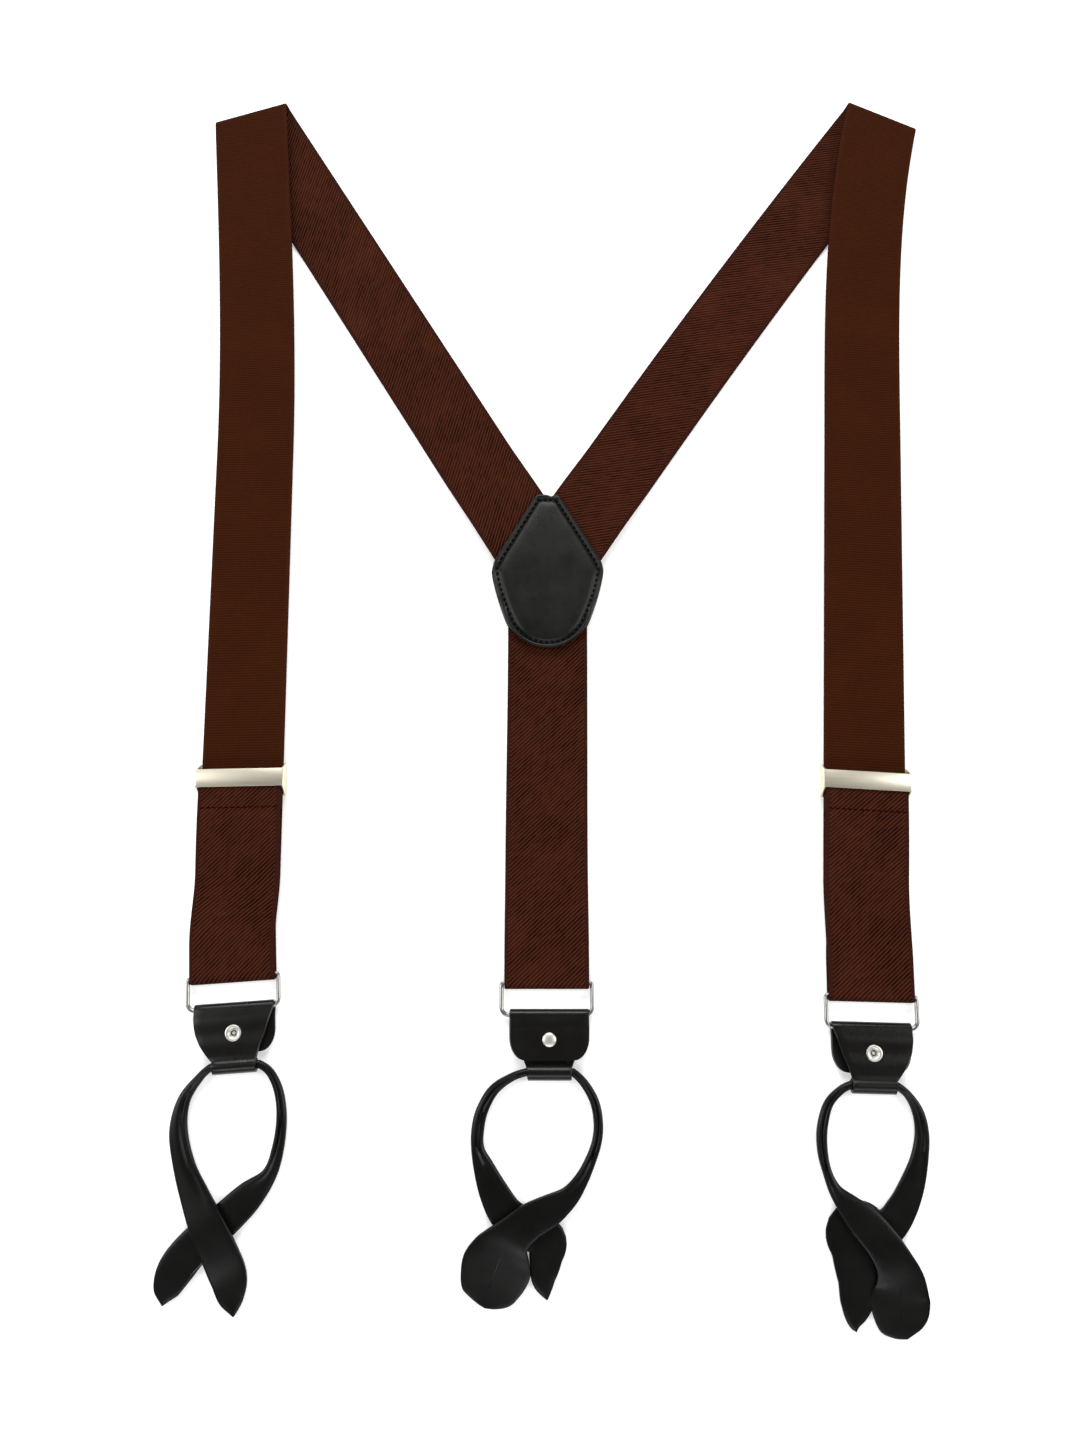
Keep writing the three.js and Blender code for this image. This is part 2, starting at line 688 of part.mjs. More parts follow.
function addEnd(group, end, flapUp) {
  const tabGroup = new THREE.Group();
  tabGroup.position.set(end.tabShift, -barSpan, 0);
  group.add(tabGroup);
  const ring = addPart(group, `${end.name}_ring`, wireRing(), nickel);
  ring.position.set(0, -barSpan / 2, ringHeight);
  addPart(tabGroup, `${end.name}_tab`, tab(flapUp ? tabFlapUp() : tabBodyUp()), leather);

  const layers = flapUp ? layersFlapUp : layersBodyUp;
  const reach = tabLeather / 2 + headSeat;
  const [low, high] = flapUp
    ? [layers.body - reach, layers.flap + reach]
    : [layers.flap - reach, layers.body + reach];
  const tube = addPart(tabGroup, `${end.name}_rivet`, rivetTube(high - low - headSeat), nickel);
  const cap = addPart(tabGroup, `${end.name}_rivet_cap`, rivetCap(high - low), nickel);
  tube.position.set(0, -rivetDrop, flapUp ? low : high);
  cap.position.set(0, -rivetDrop, flapUp ? high : low);
  if (flapUp) {
    tube.rotation.x = Math.PI;
    cap.rotation.x = Math.PI;
  }

  const loop = buttonLoop(routes[end.name]);
  const lastStation = loop.stations.length - 1;
  for (const [station, sideways] of slits[end.name]) {
    cutSlit(loop, station < 0 ? lastStation + station : station, sideways);
  }
  const loopPart = addPart(tabGroup, `${end.name}_button_loop`, toGeometry(loop.solid), leather);
  loopPart.position.set(0, -sleeveDrop, 0);
}

// ---- Slider ----

function sliderFrame() {
  const inner = webWidth / 2 + earGap;
  const top = backPlateHeight + sheetThick;
  const ear = new THREE.Shape();
  ear.moveTo(-earLength / 2, 0);
  ear.lineTo(earLength / 2, 0);
  ear.lineTo(earLength / 2, 2);
  ear.lineTo(backPlateLength / 2, top);
  ear.lineTo(-backPlateLength / 2, top);
  ear.lineTo(-earLength / 2, 2);
  const earSheet = new THREE.ExtrudeGeometry(ear, { depth: sheetThick, bevelEnabled: false });
  earSheet.rotateZ(Math.PI / 2).rotateY(Math.PI / 2);
  const rightEar = toSolid(earSheet.clone().translate(inner, 0, 0));
  const leftEar = toSolid(earSheet.clone().translate(-inner - sheetThick, 0, 0));
  const backPlate = toSolid(box(2 * inner + sheetThick, backPlateLength, sheetThick, 0, 0, top - sheetThick / 2));
  const slot = toSolid(box(60, barWidth + 2 * layerGap, barThick + 2 * layerGap, 0, barBack, barHeight));
  const pinHoleRadius = clampPinRadius + clampPinHoleGap;
  const pinHole = new THREE.CylinderGeometry(pinHoleRadius, pinHoleRadius, 60, 12).rotateZ(Math.PI / 2);
  pinHole.translate(0, clampPinAhead, clampPinHeight);
  return toGeometry(rightEar.add(leftEar).add(backPlate).subtract(slot).subtract(toSolid(pinHole)));
}

function sliderBar() {
  return box(webWidth + 2 * (earGap + sheetThick), barWidth, barThick, 0, barBack, barHeight);
}

/** The toothed clamp plate on the outer face, with its two stub pins. */
function sliderClamp() {
  const width = webWidth + 2 * earGap - 2 * clampSideGap;
  const plateTop = clampLift + sheetThick;
  const ahead = clampPinAhead + clampPinRadius * 0.8;
  const length = clampBack + ahead;
  const sheet = toSolid(box(width, length, sheetThick, 0, (ahead - clampBack) / 2, clampLift + sheetThick / 2));
  const pinLength = webWidth + 2 * (earGap + sheetThick);
  const pin = new THREE.CylinderGeometry(clampPinRadius, clampPinRadius, pinLength, 12).rotateZ(Math.PI / 2);
  pin.translate(0, clampPinAhead, clampPinHeight);
  const comb = new THREE.Shape();
  const pitch = (width - 2) / toothCount;
  comb.moveTo(-width / 2 + 1, clampLift + 0.2);
  for (let i = 0; i < toothCount; i += 1) {
    const x = -width / 2 + 1 + i * pitch;
    comb.lineTo(x, plateTop + 0.1);
    comb.lineTo(x + pitch / 2, plateTop + toothHeight);
  }
  comb.lineTo(width / 2 - 1, plateTop + 0.1);
  comb.lineTo(width / 2 - 1, clampLift + 0.2);
  const teeth = new THREE.ExtrudeGeometry(comb, { depth: sheetThick, bevelEnabled: false });
  teeth.rotateX(Math.PI / 2).translate(0, toothAhead, 0);
  return toGeometry(sheet.add(toSolid(pin)).add(toSolid(teeth)));
}

// ---- Assembly ----

addPart(suspenders, 'y_patch_backing', plate(patchOutline(0), 0, patchLeather), leather);
addPart(suspenders, 'y_patch_pad', plate(patchOutline(patchBorder + 1), patchFace, padThick), leather);
addPart(suspenders, 'y_patch_front', puffedFront(), leather);
addPart(suspenders, 'back_strap', centreBackStrap(), webbing);

for (const front of fronts) {
  const fold = shoulderFold(front);
  const bendSteps = 10;
  const bend = Array.from({ length: bendSteps + 1 }, (_, i) => fold.at((fold.length * i) / bendSteps));
  addPart(suspenders, `${front.name}_back_strap`, backStrap(front, fold), webbing);
  addPart(suspenders, `${front.name}_shoulder_fold`, strip(bend, webThick), webbing);
  addPart(suspenders, `${front.name}_front_strap`, frontStrap(front, fold), webbing);
  addPart(suspenders, `${front.name}_adjust_run`, adjustRun(front), webbing);
  addPart(suspenders, `${front.name}_return_run`, returnRun(front), webbing);

  const slider = new THREE.Group();
  slider.position.set(...front.slider, 0);
  slider.rotation.z = THREE.MathUtils.degToRad(front.strapAngle);
  suspenders.add(slider);
  addPart(slider, `${front.name}_sewn_end`, sewnEnd(), webbing);
  addPart(slider, `${front.name}_slider_frame`, sliderFrame(), nickel);
  addPart(slider, `${front.name}_slider_bar`, sliderBar(), nickel);
  addPart(slider, `${front.name}_slider_clamp`, sliderClamp(), nickel);
}

for (const end of [...fronts, rear]) {
  const group = new THREE.Group();
  group.position.set(...end.ring, 0);
  group.rotation.z = THREE.MathUtils.degToRad(end.ringAngle);
  suspenders.add(group);
  const turnedBackEnd = end === rear ? seamSpan + 1 : seamSpan;
  addPart(group, `${end.name}_ring_fold`, ringFold(turnedBackEnd), webbing);
  addEnd(group, end, end === rear);
}

export default suspenders;
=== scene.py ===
from math import atan2, cos, exp, hypot, pi, radians, sin

import bpy
from mathutils import Matrix, Vector, noise


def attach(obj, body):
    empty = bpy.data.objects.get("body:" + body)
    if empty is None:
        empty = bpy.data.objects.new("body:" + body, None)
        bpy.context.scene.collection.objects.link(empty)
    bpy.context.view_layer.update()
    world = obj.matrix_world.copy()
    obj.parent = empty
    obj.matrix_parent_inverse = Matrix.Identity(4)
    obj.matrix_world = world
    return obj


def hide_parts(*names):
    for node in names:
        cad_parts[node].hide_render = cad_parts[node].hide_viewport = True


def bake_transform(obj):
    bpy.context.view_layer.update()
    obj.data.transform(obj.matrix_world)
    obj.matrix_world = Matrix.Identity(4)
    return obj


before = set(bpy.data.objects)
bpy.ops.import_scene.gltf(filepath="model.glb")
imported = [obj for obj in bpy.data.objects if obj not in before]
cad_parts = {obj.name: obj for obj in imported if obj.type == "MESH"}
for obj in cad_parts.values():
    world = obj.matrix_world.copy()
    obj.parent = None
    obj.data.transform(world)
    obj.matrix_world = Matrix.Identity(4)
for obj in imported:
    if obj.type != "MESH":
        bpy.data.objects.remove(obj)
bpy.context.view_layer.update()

MM = 0.001

# ---- Webbing ----
# Elastic straps 35 mm wide and 1.3 mm thick. One face is a steep twill in dark red-brown, and
# the face worn against the body is smooth with fine cross ribs. Both have a firm selvedge.

WEB_WIDTH = 35 * MM
WEB_THICK = 1.3 * MM
FOLD_RADIUS = 2.5 * MM
SEAM_SPAN = 13 * MM
FLOOR_LAYER = 0.65 * MM
RING_HEIGHT = 2.5 * MM
OVER_RING = 4.35 * MM
IN_SLIDER = 2.45 * MM
SEWN_LAYER = 3.95 * MM
BAR_MIDDLE = 0.3 * MM
OVER_BAR = 6.65 * MM
UNDER_PATCH = 1.85 * MM
DIAGONAL_LAYER = 3.45 * MM
UP = Vector((0, 0, 1))


def smooth(value, start, end):
    share = min(max((value - start) / (end - start), 0), 1)
    return share * share * (3 - 2 * share)


def towards(angle):
    """Level direction at an angle in degrees from +Y, positive to the left."""
    return Vector((-sin(radians(angle)), cos(radians(angle)), 0))


def across_of(along):
    return along.cross(UP).normalized()


def ranged(tree, value, **ends):
    """A value taken from one range to another, such as From_Min=0.3."""
    wires = [("Value", value)] + [(name.replace("_", " "), end) for name, end in ends.items()]
    return node(tree, "ShaderNodeMapRange", wires).outputs[0]


def raise_surface(tree, shader, height, strength, depth):
    """Bumps a shader's surface by a height, at a depth in millimetres."""
    wires = (("Height", height), ("Strength", strength), ("Distance", depth * MM))
    tree.links.new(node(tree, "ShaderNodeBump", wires).outputs[0], shader.inputs["Normal"])


def new_group(name, vectors, numbers, outputs):
    """A node group with its sockets, and its nodes for what comes in and what goes out."""
    group = bpy.data.node_groups.new(name, "ShaderNodeTree")
    for labels, kind, way in (
            (vectors, "Vector", "INPUT"), (numbers, "Float", "INPUT"), (outputs, "Float", "OUTPUT")):
        for label in labels:
            group.interface.new_socket(name=label, in_out=way, socket_type="NodeSocket" + kind)
    return group, group.nodes.new("NodeGroupInput"), group.nodes.new("NodeGroupOutput")


def new_material(name):
    material = bpy.data.materials.new(name)
    material.use_nodes = True
    return material, material.node_tree, material.node_tree.nodes["Principled BSDF"]


def node(tree, kind, wires=(), **settings):
    """A node with its settings, its wired inputs and its plain input values."""
    made = tree.nodes.new(kind)
    for name, value in settings.items():
        setattr(made, name, value)
    for socket, value in wires:
        if isinstance(value, bpy.types.NodeSocket):
            tree.links.new(value, made.inputs[socket])
        else:
            made.inputs[socket].default_value = value
    return made


def calc(tree, operation, *values):
    return node(tree, "ShaderNodeMath", enumerate(values), operation=operation).outputs[0]


def mix_colour(tree, share, first, second):
    wires = (("Factor", share), (6, first), (7, second))
    return node(tree, "ShaderNodeMix", wires, data_type="RGBA").outputs[2]


def noise_of(tree, vector, scale, detail, roughness=0.5):
    wires = (("Vector", vector), ("Scale", scale), ("Detail", detail), ("Roughness", roughness))
    return node(tree, "ShaderNodeTexNoise", wires).outputs["Fac"]


def ribs_group():
    """Woven ribs from a place on the strap in millimetres: how high the yarn stands, and a colour share
    that paints shade into the furrows and a highlight onto the crests, with a random share per yarn float.
    """
    group, start, end = new_group(
        "woven ribs", ("Place", "Across ribs", "Along ribs"), (), ("Height", "Rib tone and painted shade"))
    place = start.outputs["Place"]

    def dot(vector):
        return node(group, "ShaderNodeVectorMath", ((0, place), (1, vector)),
                    operation="DOT_PRODUCT").outputs["Value"]

    wander = calc(group, "SUBTRACT", noise_of(group, place, 0.6, 3.0), 0.5)
    rib = calc(group, "ADD", dot(start.outputs["Across ribs"]), calc(group, "MULTIPLY", wander, 0.1))
    wave = calc(group, "COSINE", calc(group, "MULTIPLY", rib, 2 * pi))
    crest = calc(group, "ADD", calc(group, "MULTIPLY", wave, 0.5), 0.5)
    row = calc(group, "FLOOR", rib)
    step = calc(group, "ADD", dot(start.outputs["Along ribs"]), calc(group, "MULTIPLY", row, 0.37))
    floats = calc(group, "COSINE", calc(group, "MULTIPLY", step, 2 * pi))
    yarn = calc(group, "ADD", calc(group, "MULTIPLY", floats, 0.14), 0.86)
    height = calc(group, "MULTIPLY", calc(group, "POWER", crest, 2.6), yarn)
    cells = node(group, "ShaderNodeCombineXYZ", ((0, row), (1, calc(group, "FLOOR", step))))
    stray = node(group, "ShaderNodeTexWhiteNoise", (("Vector", cells.outputs[0]),),
                 noise_dimensions="2D").outputs["Value"]
    # Colour share: a random share per yarn float, plus the rib height, which paints shade into the furrows
    # and a highlight on the crests
    rib_tone_and_painted_shade = calc(group, "ADD", calc(group, "MULTIPLY", stray, 0.14), calc(group, "MULTIPLY", height, 0.86))
    group.links.new(height, end.inputs["Height"])
    group.links.new(rib_tone_and_painted_shade, end.inputs["Rib tone and painted shade"])
    return group


woven_ribs = ribs_group()


def webbing_material(name, low, high, edge, lean, pitch, float_length, depth):
    """Cloth whose ribs lie at an angle from the strap, coloured low between the yarns and high on them:
    painted shade in the furrows and a painted highlight on the crests.
    """
    material, tree, shader = new_material(name)
    place = node(tree, "ShaderNodeUVMap", uv_map="weave").outputs["UV"]
    angle = radians(lean)
    wires = (
        ("Place", place),
        ("Across ribs", (cos(angle) / pitch, -sin(angle) / pitch, 0)),
        ("Along ribs", (sin(angle) / float_length, cos(angle) / float_length, 0)),
    )
    ribs = node(tree, "ShaderNodeGroup", wires, node_tree=woven_ribs)
    # Painted shade and highlight: the low colour darkens the furrows between ribs, and the high colour is
    # the yarn lightened on its crests
    body = mix_colour(tree, ribs.outputs["Rib tone and painted shade"], low, high)
    drift = noise_of(tree, place, 0.035, 3.0, 0.6)
    lighter = [min(part * 1.22, 1) for part in high[:3]] + [1]
    share = calc(tree, "MULTIPLY", calc(tree, "SUBTRACT", drift, 0.42), 0.5)
    body = mix_colour(tree, node(tree, "ShaderNodeClamp", (("Value", share),)).outputs[0], body, lighter)
    sideways = calc(tree, "ABSOLUTE", node(tree, "ShaderNodeSeparateXYZ", ((0, place),)).outputs["X"])
    selvedge = ranged(tree, sideways, From_Min=16.45, From_Max=16.7)
    colour = mix_colour(tree, selvedge, body, edge)
    tree.links.new(colour, shader.inputs["Base Color"])
    fuzz = noise_of(tree, place, 2.6, 3.0, 0.7)
    height = calc(tree, "ADD", ribs.outputs["Height"], calc(tree, "MULTIPLY", fuzz, 0.35))
    raise_surface(tree, shader, height, 0.75, depth)
    shader.inputs["Roughness"].default_value = 0.82
    shader.inputs["Specular IOR Level"].default_value = 0.05
    return material


# Each face's colours: between the yarns (painted shade), on the crests (yarn colour with a painted
# highlight) and at the selvedge
twill = webbing_material(
    "twill face", (0.005, 0.001, 0.0005, 1), (0.1, 0.0235, 0.0088, 1), (0.03, 0.0075, 0.004, 1),
    lean=48, pitch=1.3, float_length=3.4, depth=0.26)
smooth_web = webbing_material(
    "smooth face", (0.022, 0.0046, 0.0005, 1), (0.05, 0.011, 0.0016, 1), (0.036, 0.0078, 0.002, 1),
    lean=90, pitch=1.15, float_length=1.4, depth=0.09)

FACE_STEPS = 14
EDGE_STEPS = 5


def web_section():
    """Points round the strap: sideways share, sideways inset, height share, weave place and face."""
    half = WEB_THICK / 2
    top = [(2 * i / FACE_STEPS - 1, half, 1) for i in range(FACE_STEPS + 1)]
    points = [(share, inset, high, share, 0) for share, inset, high in top]
    for i in range(1, EDGE_STEPS):
        angle = pi / 2 - pi * i / EDGE_STEPS
        points.append((1, half * (1 - cos(angle)), sin(angle), 1, 0 if angle > 0 else 1))
    points += [(-share, inset, -1, -share, 1) for share, inset, high in top]
    for i in range(1, EDGE_STEPS + 1):
        angle = pi / 2 - pi * i / EDGE_STEPS
        points.append((-1, half * (1 - cos(angle)), -sin(angle), -1, 1 if angle > 0 else 0))
    return points


def new_grid(name, columns, rows):
    bpy.ops.mesh.primitive_grid_add(x_subdivisions=columns, y_subdivisions=rows, size=1)
    piece = bpy.context.object
    piece.name = piece.data.name = name
    return piece


def grid_cell(vertex, columns, rows):
    """The column and row at which a vertex stands in its grid."""
    return round((vertex.co.x + 0.5) * columns), round((vertex.co.y + 0.5) * rows)


def closed_up(piece, corner):
    """Joins a grid's long sides, fills its open ends and turns its faces outward."""
    bpy.ops.object.mode_set(mode="EDIT")
    bpy.ops.mesh.select_all(action="SELECT")
    bpy.ops.mesh.remove_doubles(threshold=1e-6)
    bpy.ops.mesh.select_all(action="DESELECT")
    bpy.ops.mesh.select_non_manifold()
    bpy.ops.mesh.edge_face_add()
    bpy.ops.mesh.select_all(action="SELECT")
    bpy.ops.mesh.normals_make_consistent(inside=False)
    bpy.ops.object.mode_set(mode="OBJECT")
    bpy.ops.object.shade_smooth_by_angle(angle=radians(corner))
    return piece


def strap(name, stations, faces):
    """A closed strap laid along its stations, with its weave running on in millimetres."""
    section = web_section()
    columns, rows = len(section) - 1, len(stations) - 1
    piece = new_grid(name, columns, rows)
    mesh = piece.data
    for material in faces:
        mesh.materials.append(material)
    weave = mesh.uv_layers.active
    weave.name = "weave"
    place_of = {}
    for vertex in mesh.vertices:
        column, row = grid_cell(vertex, columns, rows)
        middle, across, up, width, along, run = stations[row]
        share, inset, high, weave_share, _ = section[column]
        offset = share * (width / 2 - inset * width / WEB_WIDTH)
        vertex.co = middle + across * offset + up * (high * WEB_THICK / 2)
        sideways = weave_share * width / 2
        true_across = across_of(along) if abs(along.z) < 0.3 else across
        place_of[vertex.index] = (
            sideways * max(abs(across.dot(true_across)), 0.2) / MM,
            (run + sideways * across.dot(along)) / MM, column)
    for face in mesh.polygons:
        face_columns = [place_of[i][2] for i in face.vertices]
        first = min(face_columns)
        face.material_index = section[first + 1][4] if first < columns else section[first][4]
        for corner in face.loop_indices:
            place = place_of[mesh.loops[corner].vertex_index]
            flip = -1 if face.material_index else 1
            weave.data[corner].uv = (place[0] * flip, place[1])
    return closed_up(piece, corner=50)


def stations_on(points, run=0.0, across=None):
    """Stations along points, with the length already run and one across for a strap that turns over."""
    stations = []
    for i, middle in enumerate(points):
        before, after = points[max(i - 1, 0)], points[min(i + 1, len(points) - 1)]
        along = (after - before).normalized()
        side = across or across_of(along)
        if i:
            run += (middle - points[i - 1]).length
        stations.append([middle, side, side.cross(along).normalized(), WEB_WIDTH, along, run])
    return stations


MITRE_REACH = 45 * MM


def mitred(stations, across, at_end):
    """Turns the stations near a slanting end gradually onto the line that the end folds on."""
    last = len(stations) - 1
    end = stations[last if at_end else 0]
    target = across if across.dot(end[1]) > 0 else -across
    flat_end = Vector((end[4].x, end[4].y, 0)).normalized()
    slant = atan2(flat_end.cross(target).z, flat_end.dot(target)) + pi / 2
    for station in stations:
        share = 1 - min((station[0] - end[0]).length / MITRE_REACH, 1)
        turn = slant * share
        station[1] = Matrix.Rotation(turn, 3, "Z") @ station[1]
        station[3] = station[3] / cos(turn)
        station[2] = station[1].cross(station[4]).normalized()
    return stations


FRONTS = {
    "left": dict(
        crown=(-143.8, 236.8), bow=0, fold_drop=5, slider=(-130.9, -93.4), strap_angle=1.2,
        straight=153, ring=(-129.9, -175.5), ring_angle=4, tab_shift=0.7),
    "right": dict(
        crown=(163.2, 235.4), bow=-2.9, fold_drop=-14.5, slider=(135.6, -94.7), strap_angle=-3.4,
        straight=155, ring=(132.5, -183.3), ring_angle=-1.5, tab_shift=-0.4),
}
REAR = dict(ring=(-0.6, -178.1), ring_angle=0, tab_shift=1)
STRAIGHT_BELOW = 40 * MM
TUCKED_UNDER = 40 * MM
HALF_GAP = 0.2 * MM
CROSS = Vector((0, 0.8, 0)) * MM


def flat(pair, height=0.0):
    return Vector((pair[0] * MM, pair[1] * MM, height))


def set_down(point, angle):
    """The place of a piece at a point, turned on the table by an angle in degrees."""
    return Matrix.Translation(point) @ Matrix.Rotation(radians(angle), 4, "Z")


def bezier(points, share):
    while len(points) > 1:
        points = [first.lerp(second, share) for first, second in zip(points, points[1:])]
    return points[0]


def turned_back(place, ways, heights, straight_steps, turn_steps):
    """Points of a strap that comes in at one height, turns half round a bar and goes back."""
    far, turn_at, back = ways
    first, last = heights
    outward = abs(first - last) / 2 * (1 if turn_at > far else -1)
    path = [(far + (turn_at - far) * i / straight_steps, first) for i in range(straight_steps)]
    for i in range(turn_steps + 1):
        angle = pi * i / turn_steps
        path.append((turn_at + outward * sin(angle), (first + last) / 2 + (first - last) / 2 * cos(angle)))
    path += [(turn_at + (back - turn_at) * i / straight_steps, last) for i in range(1, straight_steps + 1)]
    return [place @ Vector((0, y, height)) for y, height in path]


def bend_of(front):
    """The oblique fold over a shoulder: its line, and the strap's way in and out."""
    crown = flat(front["crown"])
    bend = (CROSS + crown) / 2 + Vector((2 * front["bow"] * MM, 0, 0))
    way_in = (crown - bend).normalized()
    way_out = -towards(front["fold_drop"])
    normal = (way_in - way_out).normalized()
    line = normal.cross(UP)
    slant = way_in.dot(normal)
    return crown, bend, way_in, way_out, normal, line, slant


for side, front in FRONTS.items():
    crown, bend, way_in, way_out, normal, line, slant = bend_of(front)

    # back strap, from under the patch to the shoulder
    points = [CROSS - way_in * TUCKED_UNDER + UP * DIAGONAL_LAYER]
    for i in range(75):
        point = bezier([CROSS, bend, crown], i / 74)
        away = (point - CROSS).length
        point.z = DIAGONAL_LAYER + (FLOOR_LAYER - DIAGONAL_LAYER) * smooth(away, 0.032, 0.064)
        points.append(point)
    stations = mitred(stations_on(points), line, at_end=True)
    stations[-1][2] = UP
    run = stations[-1][5]
    back_strap = strap(f"{side}_back_webbing", stations, (twill, smooth_web))
    bpy.ops.object.mode_set(mode="EDIT")
    bpy.ops.mesh.select_all(action="SELECT")
    outward = -1 if side == "left" else 1
    bpy.ops.mesh.bisect(plane_co=(HALF_GAP * outward, 0, 0), plane_no=(-outward, 0, 0),
                        use_fill=True, clear_outer=True)
    bpy.ops.object.mode_set(mode="OBJECT")
    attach(back_strap, "back")
    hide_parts(f"{side}_back_strap")

    # shoulder fold, a half turn round the oblique line
    stations = []
    fold_length = pi * FOLD_RADIUS / slant
    steps = 18
    for i in range(steps + 1):
        done = fold_length * i / steps
        turn = done * slant / FOLD_RADIUS
        middle = (crown + line * (done * way_in.dot(line)) + normal * (FOLD_RADIUS * sin(turn))
                  + UP * (FLOOR_LAYER + FOLD_RADIUS * (1 - cos(turn))))
        along = normal * cos(turn) + UP * sin(turn)
        stations.append([middle, line, line.cross(along), WEB_WIDTH / slant, along, run + done])
    fold = strap(f"{side}_shoulder_fold_webbing", stations, (twill, smooth_web))
    weave = fold.data.uv_layers["weave"]
    lean = way_in.dot(line)
    for face in fold.data.polygons:
        for corner in face.loop_indices:
            sideways, forward = weave.data[corner].uv
            flip = -1 if face.material_index else 1
            weave.data[corner].uv = (sideways * slant, forward + sideways * flip * lean)
    middle = stations[steps // 2][0]
    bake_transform(fold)
    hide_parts(f"{side}_shoulder_fold")
    run += fold_length

    # front strap, from the fold down to its straight run
    down = -towards(front["strap_angle"])
    first = stations[-1][0]
    end = flat(front["slider"], IN_SLIDER) - down * (front["straight"] * MM)
    reach = (end - first).length / 3
    handles = [first, first + way_out * reach - UP * 0.0008, end - down * reach, end]
    points = [bezier(handles, i / 60) for i in range(61)]
    stations = mitred(stations_on(points, run), line, at_end=False)
    stations[0][2] = UP
    run = stations[-1][5]
    front_strap = strap(f"{side}_front_webbing", stations, (smooth_web, twill))
    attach(front_strap, f"{side}_front")
    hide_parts(f"{side}_front_strap")

    # adjusting run, through the slider and down to the fold round the ring
    ring_down = -towards(front["ring_angle"])
    slider = flat(front["slider"])
    bend_top = slider + down * STRAIGHT_BELOW
    bend_end = flat(front["ring"]) - ring_down * SEAM_SPAN
    bend_length = (bend_end - bend_top).length
    bend_handles = [bend_top, bend_top + down * bend_length / 3, bend_end - ring_down * bend_length / 3,
                    bend_end]
    run_length = STRAIGHT_BELOW + bend_length

    def run_point(drop, height):
        point = slider + down * drop
        if drop > STRAIGHT_BELOW:
            point = bezier(bend_handles, (drop - STRAIGHT_BELOW) / bend_length)
        point.z = height
        return point

    drops = [-front["straight"] * MM * (1 - i / 50) for i in range(50)]
    drops += [run_length * i / 50 for i in range(51)]
    points = []
    for drop in drops:
        fall = smooth(drop, run_length - 0.0113, run_length - 0.0008)
        points.append(run_point(drop, IN_SLIDER + (FLOOR_LAYER - IN_SLIDER) * fall))
    stations = stations_on(points, run)
    stations[-1][1] = across_of(ring_down)
    run = stations[-1][5]
    adjust = strap(f"{side}_adjusting_webbing", stations, (smooth_web, twill))
    run_point(-front["straight"] * MM, 0)
    run_point(run_length - 0.0115, 0)
    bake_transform(adjust)
    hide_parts(f"{side}_adjust_run")

    # fold round the ring, twill outwards
    place = set_down(flat(front["ring"]), front["ring_angle"])
    path = turned_back(place, (SEAM_SPAN, 0, SEAM_SPAN), (FLOOR_LAYER, OVER_RING), 4, 16)
    stations = stations_on(path, run, across_of(ring_down))
    run = stations[-1][5]
    ring_fold = strap(f"{side}_ring_fold_webbing", stations, (smooth_web, twill))
    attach(ring_fold, f"{side}_end")
    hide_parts(f"{side}_ring_fold")

    # return layer, back up to the slider
    points = []
    for i in range(51):
        drop = run_length - (run_length - SEAM_SPAN) * i / 50
        rise = smooth(drop, SEAM_SPAN + 0.0003, run_length - 0.0063)
        points.append(run_point(drop, OVER_BAR + (OVER_RING - OVER_BAR) * rise))
    stations = stations_on(points, run)
    stations[0][1] = across_of(-ring_down)
    run = stations[-1][5]
    return_run = strap(f"{side}_return_webbing", stations, (twill, smooth_web))
    run_point(run_length, 0)
    run_point(SEAM_SPAN, 0)
    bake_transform(return_run)
    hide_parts(f"{side}_return_run")

    # sewn end, turned over the slider's bar
    place = set_down(slider, front["strap_angle"])
    path = turned_back(place, (-SEAM_SPAN, BAR_MIDDLE, -SEAM_SPAN), (OVER_BAR, SEWN_LAYER), 5, 12)
    stations = stations_on(path, run, across_of(-down))
    sewn_end = strap(f"{side}_sewn_end_webbing", stations, (twill, smooth_web))
    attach(sewn_end, f"{side}_slider")
    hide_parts(f"{side}_sewn_end")

# centre back strap, from under the patch to the rear ring
ring_x, ring_y = REAR["ring"][0] * MM, REAR["ring"][1] * MM
ramp_top, ramp_foot = ring_y + 0.045, ring_y + SEAM_SPAN
points = []
for i in range(91):
    y = 0.007 + (ramp_foot - 0.007) * i / 90
    height = UNDER_PATCH + (FLOOR_LAYER - UNDER_PATCH) * smooth(-y, 0.034, 0.058)
    height += (OVER_RING - FLOOR_LAYER) * smooth(-y, -ramp_top, -ramp_foot - 0.002)
    points.append(Vector((ring_x * smooth(-y, 0.03, -ramp_top), y, height)))
stations = stations_on(points)
run = stations[-1][5]
centre_strap = strap("centre_back_webbing", stations, (twill, smooth_web))
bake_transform(centre_strap)
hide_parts("back_strap")

place = set_down(flat(REAR["ring"]), REAR["ring_angle"])
path = turned_back(place, (SEAM_SPAN, 0, SEAM_SPAN + MM), (OVER_RING, FLOOR_LAYER), 4, 16)
stations = stations_on(path, run, Vector((-1, 0, 0)))
ring_fold = strap("rear_ring_fold_webbing", stations, (twill, smooth_web))
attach(ring_fold, "rear_end")
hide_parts("rear_ring_fold")


# ---- Leather ----
# Black leather with a fine pebbled grain, a soft shine and slightly duller worn places. The same
# hide makes the patch, the three tabs and the button loops.

